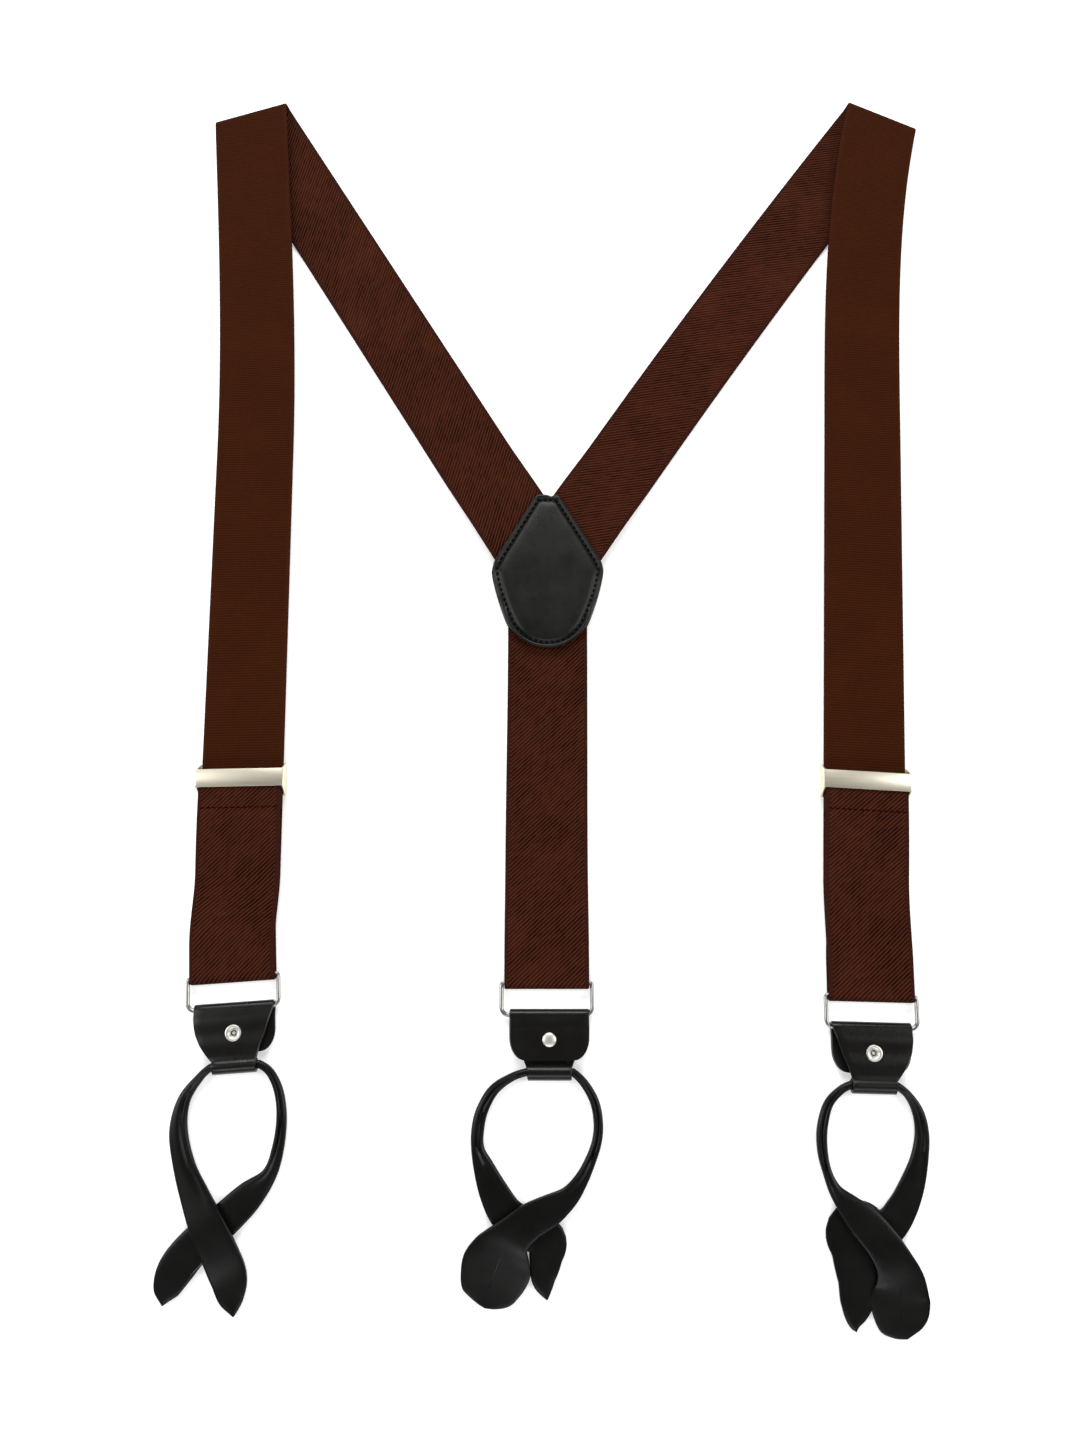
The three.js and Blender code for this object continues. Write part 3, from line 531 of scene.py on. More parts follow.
def grain_group():
    """Leather grain from a place on the piece: how high it stands and where it is worn."""
    group, start, end = new_group("leather grain", ("Place",), ("Pebble size",), ("Height", "Wear"))
    place = start.outputs["Place"]
    wires = (("Vector", place), ("Scale", start.outputs["Pebble size"]), ("Randomness", 0.95))
    pebbles = node(group, "ShaderNodeTexVoronoi", wires, feature="DISTANCE_TO_EDGE").outputs["Distance"]
    pebbled = calc(group, "MINIMUM", calc(group, "MULTIPLY", pebbles, 2.4), 0.5)
    creases = noise_of(group, place, 260.0, 4.0, 0.6)
    height = calc(group, "ADD", pebbled, calc(group, "MULTIPLY", creases, 0.9))
    group.links.new(height, end.inputs["Height"])
    group.links.new(noise_of(group, place, 70.0, 4.0, 0.65), end.inputs["Wear"])
    return group


leather_grain = grain_group()


def leather_material(name, plain, worn, roughness, pebble, depth, shine):
    material, tree, shader = new_material(name)
    place = node(tree, "ShaderNodeTexCoord").outputs["Object"]
    grain = node(tree, "ShaderNodeGroup", (("Place", place), ("Pebble size", pebble)),
                 node_tree=leather_grain)
    wear = ranged(tree, grain.outputs["Wear"], From_Min=0.35, From_Max=0.75)
    tree.links.new(mix_colour(tree, wear, plain, worn), shader.inputs["Base Color"])
    gloss = ranged(tree, grain.outputs["Wear"], From_Min=0.3, From_Max=0.8,
                   To_Min=roughness - 0.06, To_Max=roughness + 0.09)
    tree.links.new(gloss, shader.inputs["Roughness"])
    raise_surface(tree, shader, grain.outputs["Height"], 0.5, depth)
    shader.inputs["Specular IOR Level"].default_value = shine
    return material


patch_leather = leather_material(
    "patch leather", (0.006, 0.006, 0.005, 1), (0.0085, 0.0085, 0.007, 1), 0.36, 1300, 0.06, 0.2)
tab_leather = leather_material(
    "tab leather", (0.0035, 0.003, 0.0025, 1), (0.003, 0.0028, 0.0024, 1), 0.3, 1500, 0.045, 0.3)
loop_leather = leather_material(
    "loop leather", (0.0028, 0.0026, 0.0023, 1), (0.0022, 0.0021, 0.0018, 1), 0.32, 1700, 0.04, 0.2)


# ---- Y patch ----
# Two shield-shaped leathers sewn together over the crossing straps. The front one is puffed over
# a thin foam pad, with a pressed channel for its seam and its edge bent down past the straps.

LEATHER_TOP = 5.65
CHANNEL = 2.5
HALF_WEB = 17.5


def between(first, second, share):
    return tuple(a + (b - a) * share for a, b in zip(first, second))


def patch_outline(inset):
    """The shield's outline, in millimetres, at an inset, always with as many points."""
    tail = -24 + inset * 0.4
    corners = [
        (5 - inset * 0.4, 36.3 - inset), (-5 + inset * 0.4, 36.6 - inset),
        (-25.2 + 1.2 + inset * 1.1, 4.5), (-25.2 + inset, 0.6), (-17.9 + inset, tail),
        (0, -35.5 + inset), (17.9 - inset, tail), (25.2 - inset, 0.6), (25.2 - 1.2 - inset * 1.1, 4.5)]
    bows = {
        3: (-22.9 + inset, tail / 2), 4: (-10.5, -35.5 + inset), 5: (10.5, -35.5 + inset),
        6: (22.9 - inset, tail / 2)}
    counts = [6, 24, 5, 16, 18, 18, 16, 5, 24]
    points = []
    for i, start in enumerate(corners):
        end = corners[(i + 1) % len(corners)]
        handle = bows.get(i)
        for j in range(counts[i]):
            share = j / counts[i]
            if handle:
                points.append(between(
                    between(start, handle, share), between(handle, end, share), share))
            else:
                points.append(between(start, end, share))
    count = len(points)
    return [
        tuple((points[i - 1][k] + 2 * points[i][k] + points[(i + 1) % count][k]) / 4 for k in (0, 1))
        for i in range(count)]


def off_straps(x, y):
    """How far a point of the patch lies outside all the straps, in millimetres."""
    gaps = [abs(x) - HALF_WEB if y < 8 else 9]
    for front in FRONTS.values():
        way_in = bend_of(front)[2]
        sideways = abs(x * way_in.y - (y - 0.8) * way_in.x)
        ahead = x * way_in.x + (y - 0.8) * way_in.y
        gaps.append(max(sideways - HALF_WEB, -ahead))
    return max(min(gaps), 0)


def rings_of(name, rings):
    """A closed mesh through rings of as many points each, its first and last rings filled."""
    columns, rows = len(rings[0]), len(rings) - 1
    piece = new_grid(name, columns, rows)
    for vertex in piece.data.vertices:
        column, row = grid_cell(vertex, columns, rows)
        vertex.co = Vector(rings[row][column % columns]) * MM
    piece.data.materials.append(patch_leather)
    return closed_up(piece, corner=60)


def puffed(inside):
    """How high the pad lifts the leather at a distance inside its seam."""
    return 0.98 * (1 - exp(-inside / 2.6))


def ripple(x, y):
    return noise.noise(Vector((x * 0.12, y * 0.12, 3))) * 0.08


def patch_height(x, y, inset):
    """Top of the front leather in millimetres, bent down where no strap lies under its edge."""
    pressed = 0.75 * exp(-((inset - CHANNEL) / 0.8) ** 2)
    rolled = 0.16 * exp(-((inset - 0.9) / 0.6) ** 2)
    droop = 3.1 * smooth(off_straps(x, y), 0, 4.5) * smooth(-inset, -4.5, 0)
    return (LEATHER_TOP + puffed(max(inset - CHANNEL, 0)) - pressed + rolled - droop
            + ripple(x, y) * smooth(inset, 1, 6))


EDGE_INSET = 0.35
edge_drops = (1.45, 1.1, 0.55, 0.12)
insets = [0.28, 0.06, 0, 0.08, EDGE_INSET, 0.7, 1.1, 1.5, 1.8, 2.1]
insets += [2.3, 2.5, 2.7, 2.9, 3.3, 3.8, 4.5, 5.3, 6.3, 7.6]
rings = []
for level, inset in enumerate(insets):
    ring = []
    for x, y in patch_outline(inset):
        height = patch_height(x, y, inset)
        if level < len(edge_drops):
            height = patch_height(x, y, EDGE_INSET) - edge_drops[level]
        ring.append((x, y, height))
    rings.append(ring)
inner = patch_outline(insets[-1])
for share in (0.18, 0.36, 0.54, 0.7, 0.84, 0.95):
    ring = []
    for x, y in inner:
        spine = (0, min(max(y * 0.62, -14), 18))
        px, py = between((x, y), spine, share)
        crown = LEATHER_TOP + puffed(insets[-1] - CHANNEL + 9 * share)
        ring.append((px, py, crown + ripple(px, py)))
    rings.append(ring)
rings.insert(0, [(x, y, patch_height(x, y, EDGE_INSET) - 1.55) for x, y in patch_outline(1.2)])
patch_front = rings_of("patch_front_leather", rings)
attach(patch_front, "back")
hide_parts("y_patch_front", "y_patch_pad")

backing_levels = ((0.5, 0.02), (0.1, 0.02), (0, 0.3), (0, 0.7), (0.12, 0.98), (0.6, 1.0))
backing_rings = [[(x, y, height) for x, y in patch_outline(inset)] for inset, height in backing_levels]
patch_back = rings_of("patch_back_leather", backing_rings)
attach(patch_back, "back")
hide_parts("y_patch_backing")

# Thread: waxed black stitches 2.1 mm long, each a little slanted, sunk in the pressed channel
thread = leather_material(
    "waxed thread", (0.001, 0.001, 0.001, 1), (0.004, 0.004, 0.004, 1), 0.7, 3000, 0.02, 0.05)


def select_only(*pieces):
    bpy.ops.object.select_all(action="DESELECT")
    for piece in pieces:
        piece.select_set(True)
    bpy.context.view_layer.objects.active = pieces[0]


def stitches(name, places, length, radius, material):
    """A row of stitches: each a rounded length of thread, lying along its direction."""
    rows = []
    for point, along, up in places:
        bpy.ops.mesh.primitive_uv_sphere_add(segments=8, ring_count=6, radius=1)
        stitch = bpy.context.object
        side = up.cross(along).normalized()
        turn = Matrix((side, along, side.cross(along))).transposed().to_4x4()
        size = Matrix.Diagonal((radius, length / 2, radius * 0.8, 1))
        stitch.data.transform(Matrix.Translation(point) @ turn @ size)
        rows.append(stitch)
    select_only(*rows)
    bpy.ops.object.join()
    piece = bpy.context.object
    piece.name = piece.data.name = name
    piece.data.materials.append(material)
    bpy.ops.object.shade_smooth()
    return piece


def spaced(points, pitch):
    """Places each a pitch apart round a closed line of points, with the way along there."""
    found, carried = [], 0.0
    for first, second in zip(points, points[1:] + points[:1]):
        length = (second - first).length
        while carried <= length:
            found.append((first.lerp(second, carried / length), (second - first).normalized()))
            carried += pitch
        carried -= length
    return found


channel = [Vector((x, y, patch_height(x, y, CHANNEL) + 0.2)) * MM for x, y in patch_outline(CHANNEL)]
slanted = Matrix.Rotation(radians(-24), 3, "Z")
seam_places = [(point, slanted @ along, UP) for point, along in spaced(channel, 2.5 * MM)]
patch_seam = stitches("patch_seam_thread", seam_places, 2.1 * MM, 0.6 * MM, thread)
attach(patch_seam, "back")


# ---- Nickel pieces ----
# Each slider is a stamped frame with a bar across it and a hinged clamp that bites the strap, in
# satin warm nickel. The wire rings and the tubular rivets of the ends have a brighter nickel.

def nickel_material(name, colour, roughness, brushed, grain=0.12):
    material, tree, shader = new_material(name)
    place = node(tree, "ShaderNodeTexCoord").outputs["Object"]
    stretched = node(tree, "ShaderNodeMapping", (("Vector", place), ("Scale", (60, brushed, brushed))))
    streaks = noise_of(tree, stretched.outputs[0], 1.0, 4.0, 0.6)
    dull = [part * 0.86 for part in colour[:3]] + [1]
    tree.links.new(mix_colour(tree, streaks, dull, colour), shader.inputs["Base Color"])
    rough = ranged(tree, streaks, To_Min=roughness - 0.05, To_Max=roughness + 0.08)
    tree.links.new(rough, shader.inputs["Roughness"])
    raise_surface(tree, shader, streaks, grain, 0.02)
    shader.inputs["Metallic"].default_value = 1
    return material


wire_nickel = nickel_material("wire nickel", (0.36, 0.355, 0.34, 1), 0.3, 300, grain=0)
rivet_nickel = nickel_material("rivet nickel", (0.8, 0.79, 0.73, 1), 0.42, 300, grain=0)
satin_nickel = nickel_material("satin nickel", (0.8, 0.74, 0.6, 1), 0.36, 3000)


def finished_copy(source, name, material, edge):
    """A copy of a CAD piece with its flat faces merged and its edges rounded."""
    piece = bpy.data.objects.new(name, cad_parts[source].data.copy())
    bpy.context.scene.collection.objects.link(piece)
    piece.data.name = name
    select_only(piece)
    bpy.ops.object.mode_set(mode="EDIT")
    bpy.ops.mesh.select_all(action="SELECT")
    bpy.ops.mesh.remove_doubles(threshold=2e-6)
    bpy.ops.mesh.dissolve_limited(angle_limit=radians(1))
    bpy.ops.object.mode_set(mode="OBJECT")
    piece.data.materials.clear()
    piece.data.materials.append(material)
    rounding = piece.modifiers.new("rounded edges", "BEVEL")
    rounding.width = edge
    rounding.segments = 2
    rounding.limit_method = "ANGLE"
    rounding.angle_limit = radians(40)
    bpy.ops.object.modifier_apply(modifier=rounding.name)
    bpy.ops.object.shade_smooth_by_angle(angle=radians(35))
    return piece


for side in FRONTS:
    for piece_name, body, edge in (
            ("slider_frame", "slider", 0.22), ("slider_bar", "slider", 0.2),
            ("slider_clamp", "clamp", 0.1)):
        source = f"{side}_{piece_name}"
        label = f"{side}_{piece_name}_nickel"
        piece = finished_copy(source, label, satin_nickel, edge * MM)
        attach(piece, f"{side}_{body}")
        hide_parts(source)

# ---- Ends ----
# At each end a wire ring carries a leather tab, folded round the wire and closed by a tubular
# rivet. The tab's sleeve holds a leather loop whose two ends cross, each with a buttonhole.

ENDS = {"left": FRONTS["left"], "right": FRONTS["right"], "rear": REAR}
RING_WIDTH = 39 * MM
BAR_SPAN = 12.8 * MM
WIRE = 0.9 * MM


def wire_ring(name, place):
    """A closed wire rectangle with tight upper corners and rounder lower ones."""
    half_x, half_y = RING_WIDTH / 2 - WIRE, BAR_SPAN / 2
    path = []
    for centre_x, centre_y, radius, start in (
            (1, 1, 1.1, 0), (-1, 1, 1.1, 90), (-1, -1, 3.2, 180), (1, -1, 3.2, 270)):
        for i in range(9):
            angle = radians(start + 90 * i / 8)
            path.append(Vector((
                centre_x * (half_x - radius * MM) + radius * MM * cos(angle),
                centre_y * (half_y - radius * MM) + radius * MM * sin(angle), 0)))
    spread = []
    for first, second in zip(path, path[1:] + path[:1]):
        pieces = max(int((second - first).length / (2.5 * MM)), 1)
        spread += [first.lerp(second, i / pieces) for i in range(pieces)]
    bpy.ops.mesh.primitive_torus_add(
        major_segments=len(spread), minor_segments=14, major_radius=2, minor_radius=1)
    piece = bpy.context.object
    piece.name = piece.data.name = name
    for vertex in piece.data.vertices:
        turn = atan2(vertex.co.y, vertex.co.x) % (2 * pi)
        at = round(turn / (2 * pi) * len(spread)) % len(spread)
        before, after = spread[at - 1], spread[(at + 1) % len(spread)]
        along = (after - before).normalized()
        outward = along.cross(UP)
        out = hypot(vertex.co.x, vertex.co.y) - 2
        vertex.co = place @ (spread[at] + outward * (out * WIRE) + UP * (vertex.co.z * WIRE))
    piece.data.materials.append(wire_nickel)
    bpy.ops.object.shade_smooth()
    return piece


def band(name, stations, section, material):
    """A closed band along stations of place, across, up and section values."""
    sections = [section(station) for station in stations]
    columns, rows = len(sections[0]) - 1, len(stations) - 1
    piece = new_grid(name, columns, rows)
    for vertex in piece.data.vertices:
        column, row = grid_cell(vertex, columns, rows)
        middle, across, up = stations[row][:3]
        sideways, high = sections[row][column]
        vertex.co = middle + across * sideways + up * high
    piece.data.materials.append(material)
    return closed_up(piece, corner=55)


def cut(piece, place, size, is_round=False):
    """Cuts a hole of some width, length and depth down through a piece."""
    if is_round:
        bpy.ops.mesh.primitive_cylinder_add(vertices=24, radius=0.5, depth=1)
    else:
        bpy.ops.mesh.primitive_cube_add(size=1)
    cutter = bpy.context.object
    cutter.data.transform(place @ Matrix.Diagonal((*size, 1)))
    select_only(piece)
    hole = piece.modifiers.new("hole", "BOOLEAN")
    hole.object = cutter
    hole.solver = "EXACT"
    bpy.ops.object.modifier_apply(modifier=hole.name)
    bpy.data.objects.remove(cutter)


TAB_LEATHER = 1.3
TAB_WIDTH = 32.6
RIVET_DROP = 9.6
SLEEVE_DROP = 22.35
SLEEVE_HEIGHT = 3.22
SLEEVE_TURN = 2.57
TAB_TURN = 1.85
PLY = 1.63
OVER_CAP = 0.85 + 0.08 + 0.65
OVER_HEAD = 0.45 + 0.08 + 0.65
RIVET_REACH = 0.73


def arc_points(y, z, radius, start, end, steps, width):
    angles = [radians(start + (end - start) * i / steps) for i in range(steps + 1)]
    return [(y + radius * cos(a), z + radius * sin(a), width) for a in angles]


def flap_end(height):
    points = []
    for i in range(9):
        angle = pi * i / 16
        points.append((-17.7 + 9.1 * (1 - cos(angle)), height, 20 + (TAB_WIDTH - 20) * sin(angle)))
    return points


def tab_profile(flap_up, lean):
    """The tab's middle line as y, z, width and x, from the flap's end round to the tongue's."""
    flap, body = (OVER_HEAD + 2 * PLY, OVER_HEAD) if flap_up else (OVER_CAP, OVER_CAP + 2 * PLY)
    tongue = (flap + body) / 2
    sign = -1 if flap_up else 1
    swell = 0.5 if flap_up else 0
    points = flap_end(flap) + [(-6.6, flap, TAB_WIDTH), (-3.6, flap + swell, TAB_WIDTH)]
    points += arc_points(0, 2.5, TAB_TURN, -90 * sign, 90 * sign, 14, TAB_WIDTH)
    if flap_up:
        points += [(-5.9, body, 32), (-RIVET_DROP, body, 30.2), (-13.3, body, 26)]
        points += [(-16.4, body - 0.2, 22.3), (-19.6, SLEEVE_HEIGHT - SLEEVE_TURN + 0.1, 19.5)]
        points += arc_points(-SLEEVE_DROP, SLEEVE_HEIGHT, SLEEVE_TURN, 270, 40, 16, 18)
        points += [(-18.9, tongue + 0.1, 15), (-16, tongue, 15)]
    else:
        points += [(-1.6, 4.6, 32, 0.3 * lean), (-4.4, body + 0.4, 31, 0.8 * lean),
                   (-RIVET_DROP + 0.8, body, 28.9, 1.3 * lean), (-RIVET_DROP - 0.8, body, 28, 1.3 * lean),
                   (-13.6, body + 0.25, 25, 1.3 * lean), (-16.6, body, 22.2, lean),
                   (-19, body - 0.12, 19.8, 0.5 * lean)]
        points += arc_points(-SLEEVE_DROP, SLEEVE_HEIGHT, SLEEVE_TURN, 48, 305, 20, 18)
        points += [(-17.9, tongue, 15)]
    points += [(-RIVET_DROP, tongue, 15), (-6.5, tongue, 11)]
    return [point if len(point) == 4 else (*point, 0) for point in points]


def softened(points):
    """Rounds the corners of an open line by cutting them, its two ends kept."""
    for _ in range(2):
        found = [points[0]]
        for first, second in zip(points, points[1:]):
            found.append(tuple(a * 0.75 + b * 0.25 for a, b in zip(first, second)))
            found.append(tuple(a * 0.25 + b * 0.75 for a, b in zip(first, second)))
        points = found + [points[-1]]
    return points


def rounded_section(station):
    """A leather section with soft corners, its edges very slightly thinner than its middle."""
    width, thickness = station[3], station[4]
    corner = min(thickness * 0.34, width * 0.2)
    half, rise = width / 2, thickness / 2
    steps = 10
    points = [(-half + corner + (width - 2 * corner) * i / steps, rise) for i in range(steps + 1)]
    for i in (1, 2, 3):
        angle = pi / 2 * (1 - i / 3)
        points.append((half - corner + corner * cos(angle), rise - corner + corner * sin(angle)))
    lower = [(-x, -z) for x, z in points]
    return points + lower + [points[0]]


def tab_piece(name, place, flap_up, lean):
    profile = softened(tab_profile(flap_up, lean))
    points = [Vector((x, y, z)) * MM for y, z, _, x in profile]
    turn = place.to_3x3()
    side = turn @ Vector((1, 0, 0))
    stations = stations_on([place @ point for point in points], 0, side)
    rows = [(s[0], s[1], s[2], profile[i][2] * MM, TAB_LEATHER * MM) for i, s in enumerate(stations)]
    piece = band(name, rows, rounded_section, tab_leather)
    rivet_place = place @ Matrix.Translation((0, -RIVET_DROP * MM, 0))
    cut(piece, rivet_place, (3.3 * MM, 3.3 * MM, 30 * MM), is_round=True)
    bpy.ops.object.shade_smooth_by_angle(angle=radians(45))
    return piece


def turned_piece(name, profile, place, material):
    """A turned metal piece: a profile of radius and height spun round the rivet's axis."""
    bpy.ops.mesh.primitive_circle_add(vertices=3, radius=0.001)
    piece = bpy.context.object
    piece.name = piece.data.name = name
    bpy.ops.object.mode_set(mode="EDIT")
    bpy.ops.mesh.select_all(action="SELECT")
    bpy.ops.mesh.delete(type="VERT")
    bpy.ops.object.mode_set(mode="OBJECT")
    count = len(profile)
    piece.data.from_pydata(
        [(radius * MM, 0, height * MM) for radius, height in profile],
        [(i, i + 1) for i in range(count - 1)], [])
    bpy.ops.object.mode_set(mode="EDIT")
    bpy.ops.mesh.select_all(action="SELECT")
    bpy.ops.mesh.spin(steps=40, angle=2 * pi, center=(0, 0, 0), axis=(0, 0, 1))
    bpy.ops.mesh.select_all(action="SELECT")
    bpy.ops.mesh.remove_doubles(threshold=2e-6)
    bpy.ops.mesh.normals_make_consistent(inside=False)
    bpy.ops.object.mode_set(mode="OBJECT")
    piece.data.transform(place)
    piece.data.materials.append(material)
    bpy.ops.object.shade_smooth_by_angle(angle=radians(40))
    return piece


def rivet_tube_profile(grip):
    points = [(1, -grip), (1.25, -grip), (1.5, -grip + 0.2), (1.5, 0), (2.9, 0), (3.15, 0.03)]
    points += [(3.1 + 0.2 * cos(a), 0.22 + 0.22 * sin(a)) for a in (-0.6, -0.2, 0.3, 0.8, 1.3)]
    points += [(2.7, 0.45), (2.3, 0.4), (2, 0.25), (1.75, 0), (1.45, -0.3), (1.2, -0.8), (1.05, -1.4)]
    return points + [(1, -grip)]


def rivet_cap_profile(grip):
    dome = [(2.9 * sin(pi * i / 24), -0.85 * cos(pi * i / 24)) for i in range(13)]
    return [(0, -0.85)] + dome[1:] + [(2.85, 0), (0.7, 0), (0.7, grip - 1), (0, grip - 1)]


# Loop routes from the middle of the sleeve, in millimetres: x, y, height, width, thickness, and
# where the leather is folded in two halves, the seam between them as sideways share and depth
CORD = 3.2
LOW = 1.35
HIGH = 4.4
BESIDE = SLEEVE_HEIGHT - 0.32
IN_SLEEVE = [(x, 0, SLEEVE_HEIGHT, CORD, CORD) for x in (-9.6, -7.4, 7.4, 9.6)]
ROUTES = {
    "left": [
        (-1.9, -93.4, 1.3, 3, 2), (-2.8, -86.6, 1.4, 10.6, 2.4),
        (-3.6, -79, 2, 14.4, 2.6), (-6.6, -70, 3.6, 14.6, 2.6),
        (-11, -60, HIGH, 14, 2.6), (-16.2, -48.4, 3.4, 11.4, 2.8, 0.5, 0.2),
        (-20.6, -37, 2.6, 8.8, 3, 0.42, 0.75), (-23, -23.6, 2.4, 7.4, CORD, 0.35, 0.9),
        (-20.8, -12, 2.4, 5.2, CORD, 0.2, 0.8),
        (-14.2, -3.6, BESIDE, 3.4, CORD, 0, 0.4),
        (-9.6, -0.1, SLEEVE_HEIGHT, CORD, CORD), *IN_SLEEVE[1:3],
        (9.6, -0.1, SLEEVE_HEIGHT, CORD, CORD), (14, -3.6, BESIDE, 3.4, CORD, 0, 0.4),
        (17.2, -11, 2.3, 3.8, CORD, 0, 0.8), (18.2, -21, 2.1, 4.2, CORD, 0.1, 0.9),
        (16.6, -32.4, 1.8, 4.9, CORD, 0.2, 0.8), (12.8, -42.6, 1.5, 6.2, 3, 0.4, 0.4),
        (4.4, -50.4, LOW, 11.8, 2.6, 0.5, 0), (-6.6, -59.4, LOW, 13.6, 2.6),
        (-17.4, -67.4, LOW, 14.4, 2.6), (-24.4, -75.2, LOW, 14.4, 2.6),
        (-28, -82.4, LOW, 10.4, 2.4), (-29.4, -87.6, 1.1, 3, 2),
    ],
    "rear": [
        (-1, -84.6, 1.1, 3, 2), (-2.4, -77.4, LOW, 9.6, 2.4), (-1.6, -70, LOW, 13, 2.6),
        (-1.2, -63, LOW, 15.4, 2.6), (-9.4, -58.6, LOW, 14.4, 2.6),
        (-16.8, -53.8, 1.4, 13.7, 2.6), (-22, -45.6, 1.6, 11.8, 2.8, 0.35, 0.3),
        (-26, -36.6, 1.8, 8.6, 3, 0.3, 0.6), (-28.6, -29.2, 2.1, 5.4, CORD, 0.1, 0.9),
        (-28.7, -22, 2.2, 5.2, CORD, 0.1, 0.9), (-27, -14.6, 2.4, 5, CORD, 0.1, 0.9),
        (-22.4, -6.8, 2.6, 4.4, CORD, 0, 0.8), (-15.4, -2, BESIDE, 3.4, CORD, 0, 0.4),
        *IN_SLEEVE, (14.2, -4.4, BESIDE, 3.5, CORD, 0, 0.4),
        (18.2, -11.4, 2.6, 3.8, CORD, 0, 0.8), (19.6, -19.4, 2.5, 3.9, CORD, 0, 0.9),
        (18.9, -26.6, 2.5, 4.1, CORD, 0, 0.9), (16.2, -33.8, 2.7, 4.6, CORD, 0.1, 0.9),
        (12.6, -40.6, 3, 5.8, 3, 0.2, 0.7), (7.6, -46.8, 3.6, 8.2, 2.8, 0.4, 0.3),
        (0.2, -51.6, HIGH, 12, 2.6), (-8, -55.8, HIGH + 0.1, 13.6, 2.6),
        (-14.4, -61, 4.2, 15.6, 2.4), (-18, -66.4, 3.3, 23, 1.8),
        (-20.6, -72.4, 2.4, 27.4, 1.6), (-22.8, -79, 1.5, 25, 1.6),
        (-24.2, -84.4, 1, 19.6, 1.6), (-25.2, -87.6, 0.9, 13, 1.4),
    ],
    "right": [
        (9.6, -93.2, 0.9, 9, 1.4), (9, -91, 1, 15.6, 1.6), (8, -86.2, 1.3, 21, 1.6),
        (7.4, -79.4, 1.9, 23.2, 1.6), (7.4, -72.4, 2.7, 19.6, 1.8),
        (5, -65.4, 3.8, 15.4, 2.2), (0.4, -58.2, HIGH, 13.8, 2.6),
        (-6, -51, HIGH + 0.1, 13, 2.6), (-12, -45.2, 4, 9.4, 2.8, -0.5, 0.3),
        (-16.8, -39.8, 3.2, 5.4, 3, -0.3, 0.6),
        (-19.6, -33.4, 2.8, 3.8, CORD, -0.1, 0.8), (-21.2, -26, 2.5, 4.2, CORD, 0, 0.9),
        (-21.2, -17.2, 2.5, 4.4, CORD, 0, 0.9), (-18.6, -7.8, 2.7, 3.9, CORD, 0, 0.7),
        (-13.8, -2.4, BESIDE, 3.4, CORD, 0, 0.4), *IN_SLEEVE,
        (14, -3.6, BESIDE, 3.4, CORD, 0, 0.4), (17.6, -10, 2.4, 4.8, CORD, 0, 0.8),
        (18.8, -18, 2, 5.8, CORD, -0.1, 0.9), (17.4, -27.4, 1.8, 7.2, 3, -0.3, 0.6),
        (14.2, -37.1, 1.5, 9.8, 2.8, -0.5, 0.1), (9.8, -46, LOW, 11.8, 2.6),
        (3.8, -53, LOW, 14.4, 2.6), (-7.4, -56, 1.2, 26, 1.9),
        (-9, -64.6, 1.2, 18.6, 1.9), (-8.2, -73, 1.2, 16.6, 1.9),
        (-9.4, -81, LOW, 13, 2.2), (-10.4, -88, 1.2, 6.6, 2.2), (-10, -91, 1, 3, 2),
    ],
}
# Each buttonhole's place in half rows of its route, from either end, and how far sideways it lies
BUTTONHOLES = {
    "left": ((5, 6.6), (-6, -6.8)), "rear": ((5, -6.8), (-6, 0)), "right": ((6, 0), (-6, 6.8))}
STEPS_PER_ROW = 7
TIP_LENGTH = 5 * MM


def through(values, share):
    """A smooth line through rows of values, at a share of its length in rows."""
    at = share * (len(values) - 1)
    i = min(int(at), len(values) - 2)
    t = at - i
    p = [values[max(i - 1, 0)], values[i], values[i + 1], values[min(i + 2, len(values) - 1)]]
    return [
        0.5 * (2 * b + (c - a) * t + (2 * a - 5 * b + 4 * c - d) * t * t + (3 * b - a - 3 * c + d) * t ** 3)
        for a, b, c, d in zip(*p)]


def loop_section(station):
    """A leather band: flat where it is wide, and two rolled halves with a seam where it is narrow."""
    width, thickness, seam, depth = station[3:7]
    steps = 36
    roundness = smooth(width / thickness, 5, 1.2)
    points = []
    for i in range(steps + 1):
        angle = pi - 2 * pi * i / steps
        flatness = 0.34 + 0.5 * roundness
        x = abs(cos(angle)) ** (0.62 + 0.3 * roundness) * (1 if cos(angle) > 0 else -1)
        z = abs(sin(angle)) ** flatness * (1 if sin(angle) > 0 else -1)
        sunk = depth * exp(-((x - seam) / 0.17) ** 2) * (1 if z > 0 else 0.5)
        points.append((x * width / 2, z * thickness / 2 * (1 - 0.62 * sunk)))
    points[-1] = points[0]
    return points


def button_loop(name, side, place):
    route = [row + (0,) * (7 - len(row)) for row in ROUTES[side]]
    half_rows = 2 * (len(route) - 1)
    steps = (len(route) - 1) * STEPS_PER_ROW
    rows = [through(route, i / steps) for i in range(steps + 1)]
    points = [place @ (Vector(row[:3]) * MM) for row in rows]
    stations = stations_on(points)
    bands = []
    whole = stations[-1][5]
    for row, station in zip(rows, stations):
        middle, across, up, _, _, run = station
        tip = min(min(run, whole - run) / TIP_LENGTH, 1)
        width = max(row[3] * (tip * (2 - tip)) ** 0.5, 0.6)
        bands.append((middle, across, up, width * MM, row[4] * MM, row[5], max(row[6], 0)))
    piece = band(name, bands, loop_section, loop_leather)
    for station, sideways in BUTTONHOLES[side]:
        at = round(station % half_rows * STEPS_PER_ROW / 2)
        middle, across = stations[at][:2]
        centre = middle + across * (sideways * MM)
        hole = Matrix.Translation(centre) @ Matrix.Rotation(atan2(across.y, across.x), 4, "Z")
        cut(piece, hole, (0.1 * MM, 16 * MM, 3 * MM))
    bpy.ops.object.shade_smooth_by_angle(angle=radians(50))
    return piece


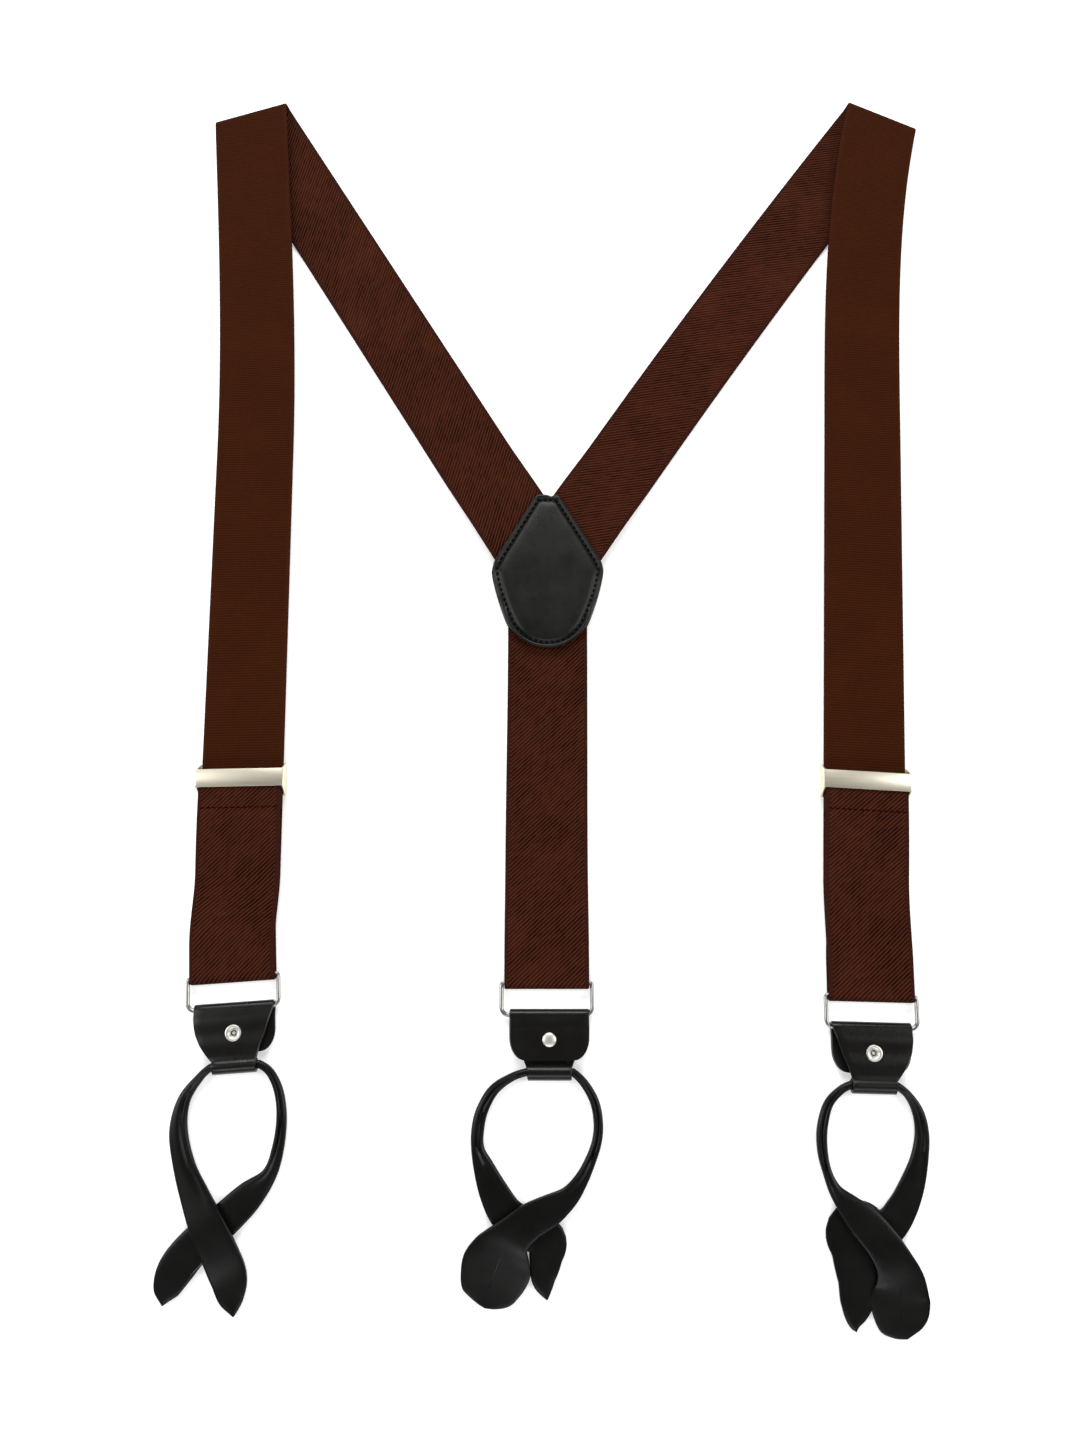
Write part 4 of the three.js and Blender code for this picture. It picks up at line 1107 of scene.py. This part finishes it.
for side, end in ENDS.items():
    group = set_down(flat(end["ring"]), end["ring_angle"])
    ring = wire_ring(f"{side}_ring_wire", group @ Matrix.Translation((0, -BAR_SPAN / 2, RING_HEIGHT)))
    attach(ring, f"{side}_ring_body")
    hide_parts(f"{side}_ring")

    flap_up = side == "rear"
    tab_place = group @ Matrix.Translation((end["tab_shift"] * MM, -BAR_SPAN, 0))
    tab = tab_piece(f"{side}_tab_leather", tab_place, flap_up, {"left": -1, "right": 1}.get(side, 0))
    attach(tab, f"{side}_tab_body")
    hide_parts(f"{side}_tab")

    base = OVER_HEAD if flap_up else OVER_CAP
    low, high = (base - RIVET_REACH) * MM, (base + 2 * PLY + RIVET_REACH) * MM
    at = tab_place @ Matrix.Translation((0, -RIVET_DROP * MM, 0))
    upside_down = Matrix.Rotation(pi, 4, "X")
    tube_place = at @ Matrix.Translation((0, 0, low if flap_up else high))
    cap_place = at @ Matrix.Translation((0, 0, high if flap_up else low))
    if flap_up:
        tube_place, cap_place = tube_place @ upside_down, cap_place @ upside_down
    grip = 2 * (PLY + RIVET_REACH)
    for label, profile, piece_place, replaced in (
            ("rivet_tube", rivet_tube_profile(grip - 0.08), tube_place, "rivet"),
            ("rivet_cap_dome", rivet_cap_profile(grip), cap_place, "rivet_cap")):
        piece = turned_piece(f"{side}_{label}", profile, piece_place, rivet_nickel)
        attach(piece, f"{side}_tab_body")
        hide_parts(f"{side}_{replaced}")

    loop = button_loop(f"{side}_loop_leather", side,
                       tab_place @ Matrix.Translation((0, -SLEEVE_DROP * MM, 0)))
    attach(loop, f"{side}_loop_body")
    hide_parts(f"{side}_button_loop")

# Seam across each strap below its slider: brown thread through the return layer and the sewn end
brown_thread = leather_material(
    "brown thread", (0.006, 0.0015, 0.001, 1), (0.016, 0.005, 0.003, 1), 0.8, 3000, 0.02, 0.0)
for side, front in FRONTS.items():
    place = set_down(flat(front["slider"]), front["strap_angle"])
    turn = place.to_3x3()
    places = [
        (place @ Vector(((i - 6) * 2.55 * MM, -12.6 * MM, OVER_BAR + WEB_THICK / 2)),
         turn @ Vector((1, 0, 0)), UP)
        for i in range(13)]
    seam = stitches(f"{side}_slider_seam_thread", places, 2.3 * MM, 0.3 * MM, brown_thread)
    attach(seam, f"{side}_slider")

# ---- Floor, light and camera ----
# A plain white table under four soft boxes, the largest behind the shoulders, with the camera
# nearly straight overhead and tipped slightly towards the patch.

bpy.ops.mesh.primitive_plane_add(size=8, location=(0, 0, 0))
floor = bpy.context.object
floor.name = "table"
floor.data.transform(Matrix.Translation((0, 0, -0.0001)))
floor_material, _, floor_shader = new_material("white table")
floor_shader.inputs["Base Color"].default_value = (0.93, 0.93, 0.925, 1)
floor_shader.inputs["Roughness"].default_value = 0.9
floor_shader.inputs["Emission Color"].default_value = (1, 1, 1, 1)
floor_shader.inputs["Emission Strength"].default_value = 0.35
floor.data.materials.append(floor_material)

bpy.context.scene.view_settings.view_transform = "Standard"
world = bpy.data.worlds.new("studio")
bpy.context.scene.world = world
world.use_nodes = True
world.node_tree.nodes["Background"].inputs["Color"].default_value = (1, 1, 1, 1)
world.node_tree.nodes["Background"].inputs["Strength"].default_value = 0.14


def soft_box(name, place, aim, size, power):
    light = bpy.data.lights.new(name, "AREA")
    light.shape = "RECTANGLE"
    light.size, light.size_y = size
    light.energy = power
    lamp = bpy.data.objects.new(name, light)
    lamp.location = place
    lamp.rotation_euler = (Vector(aim) - Vector(place)).to_track_quat("-Z", "Y").to_euler()
    bpy.context.scene.collection.objects.link(lamp)


soft_box("top soft box", (-0.1, 1.3, 1.1), (0, 0.1, 0), (1.4, 0.6), 26)
soft_box("left soft box", (-1.3, 0, 1.0), (0, 0, 0), (0.6, 1.4), 13)
soft_box("right soft box", (1.3, 0, 1.0), (0, 0, 0), (0.6, 1.4), 13)
soft_box("near soft box", (0, -1.3, 0.9), (0, -0.1, 0), (1.4, 0.5), 9)

camera = bpy.data.objects.new("camera", bpy.data.cameras.new("camera"))
camera.data.lens = 27.0
camera.data.sensor_width = 36
camera.location = (-0.00337, -0.1687, 0.460)
camera.rotation_euler = (radians(12.5), 0, 0)
bpy.context.scene.collection.objects.link(camera)
bpy.context.scene.camera = camera
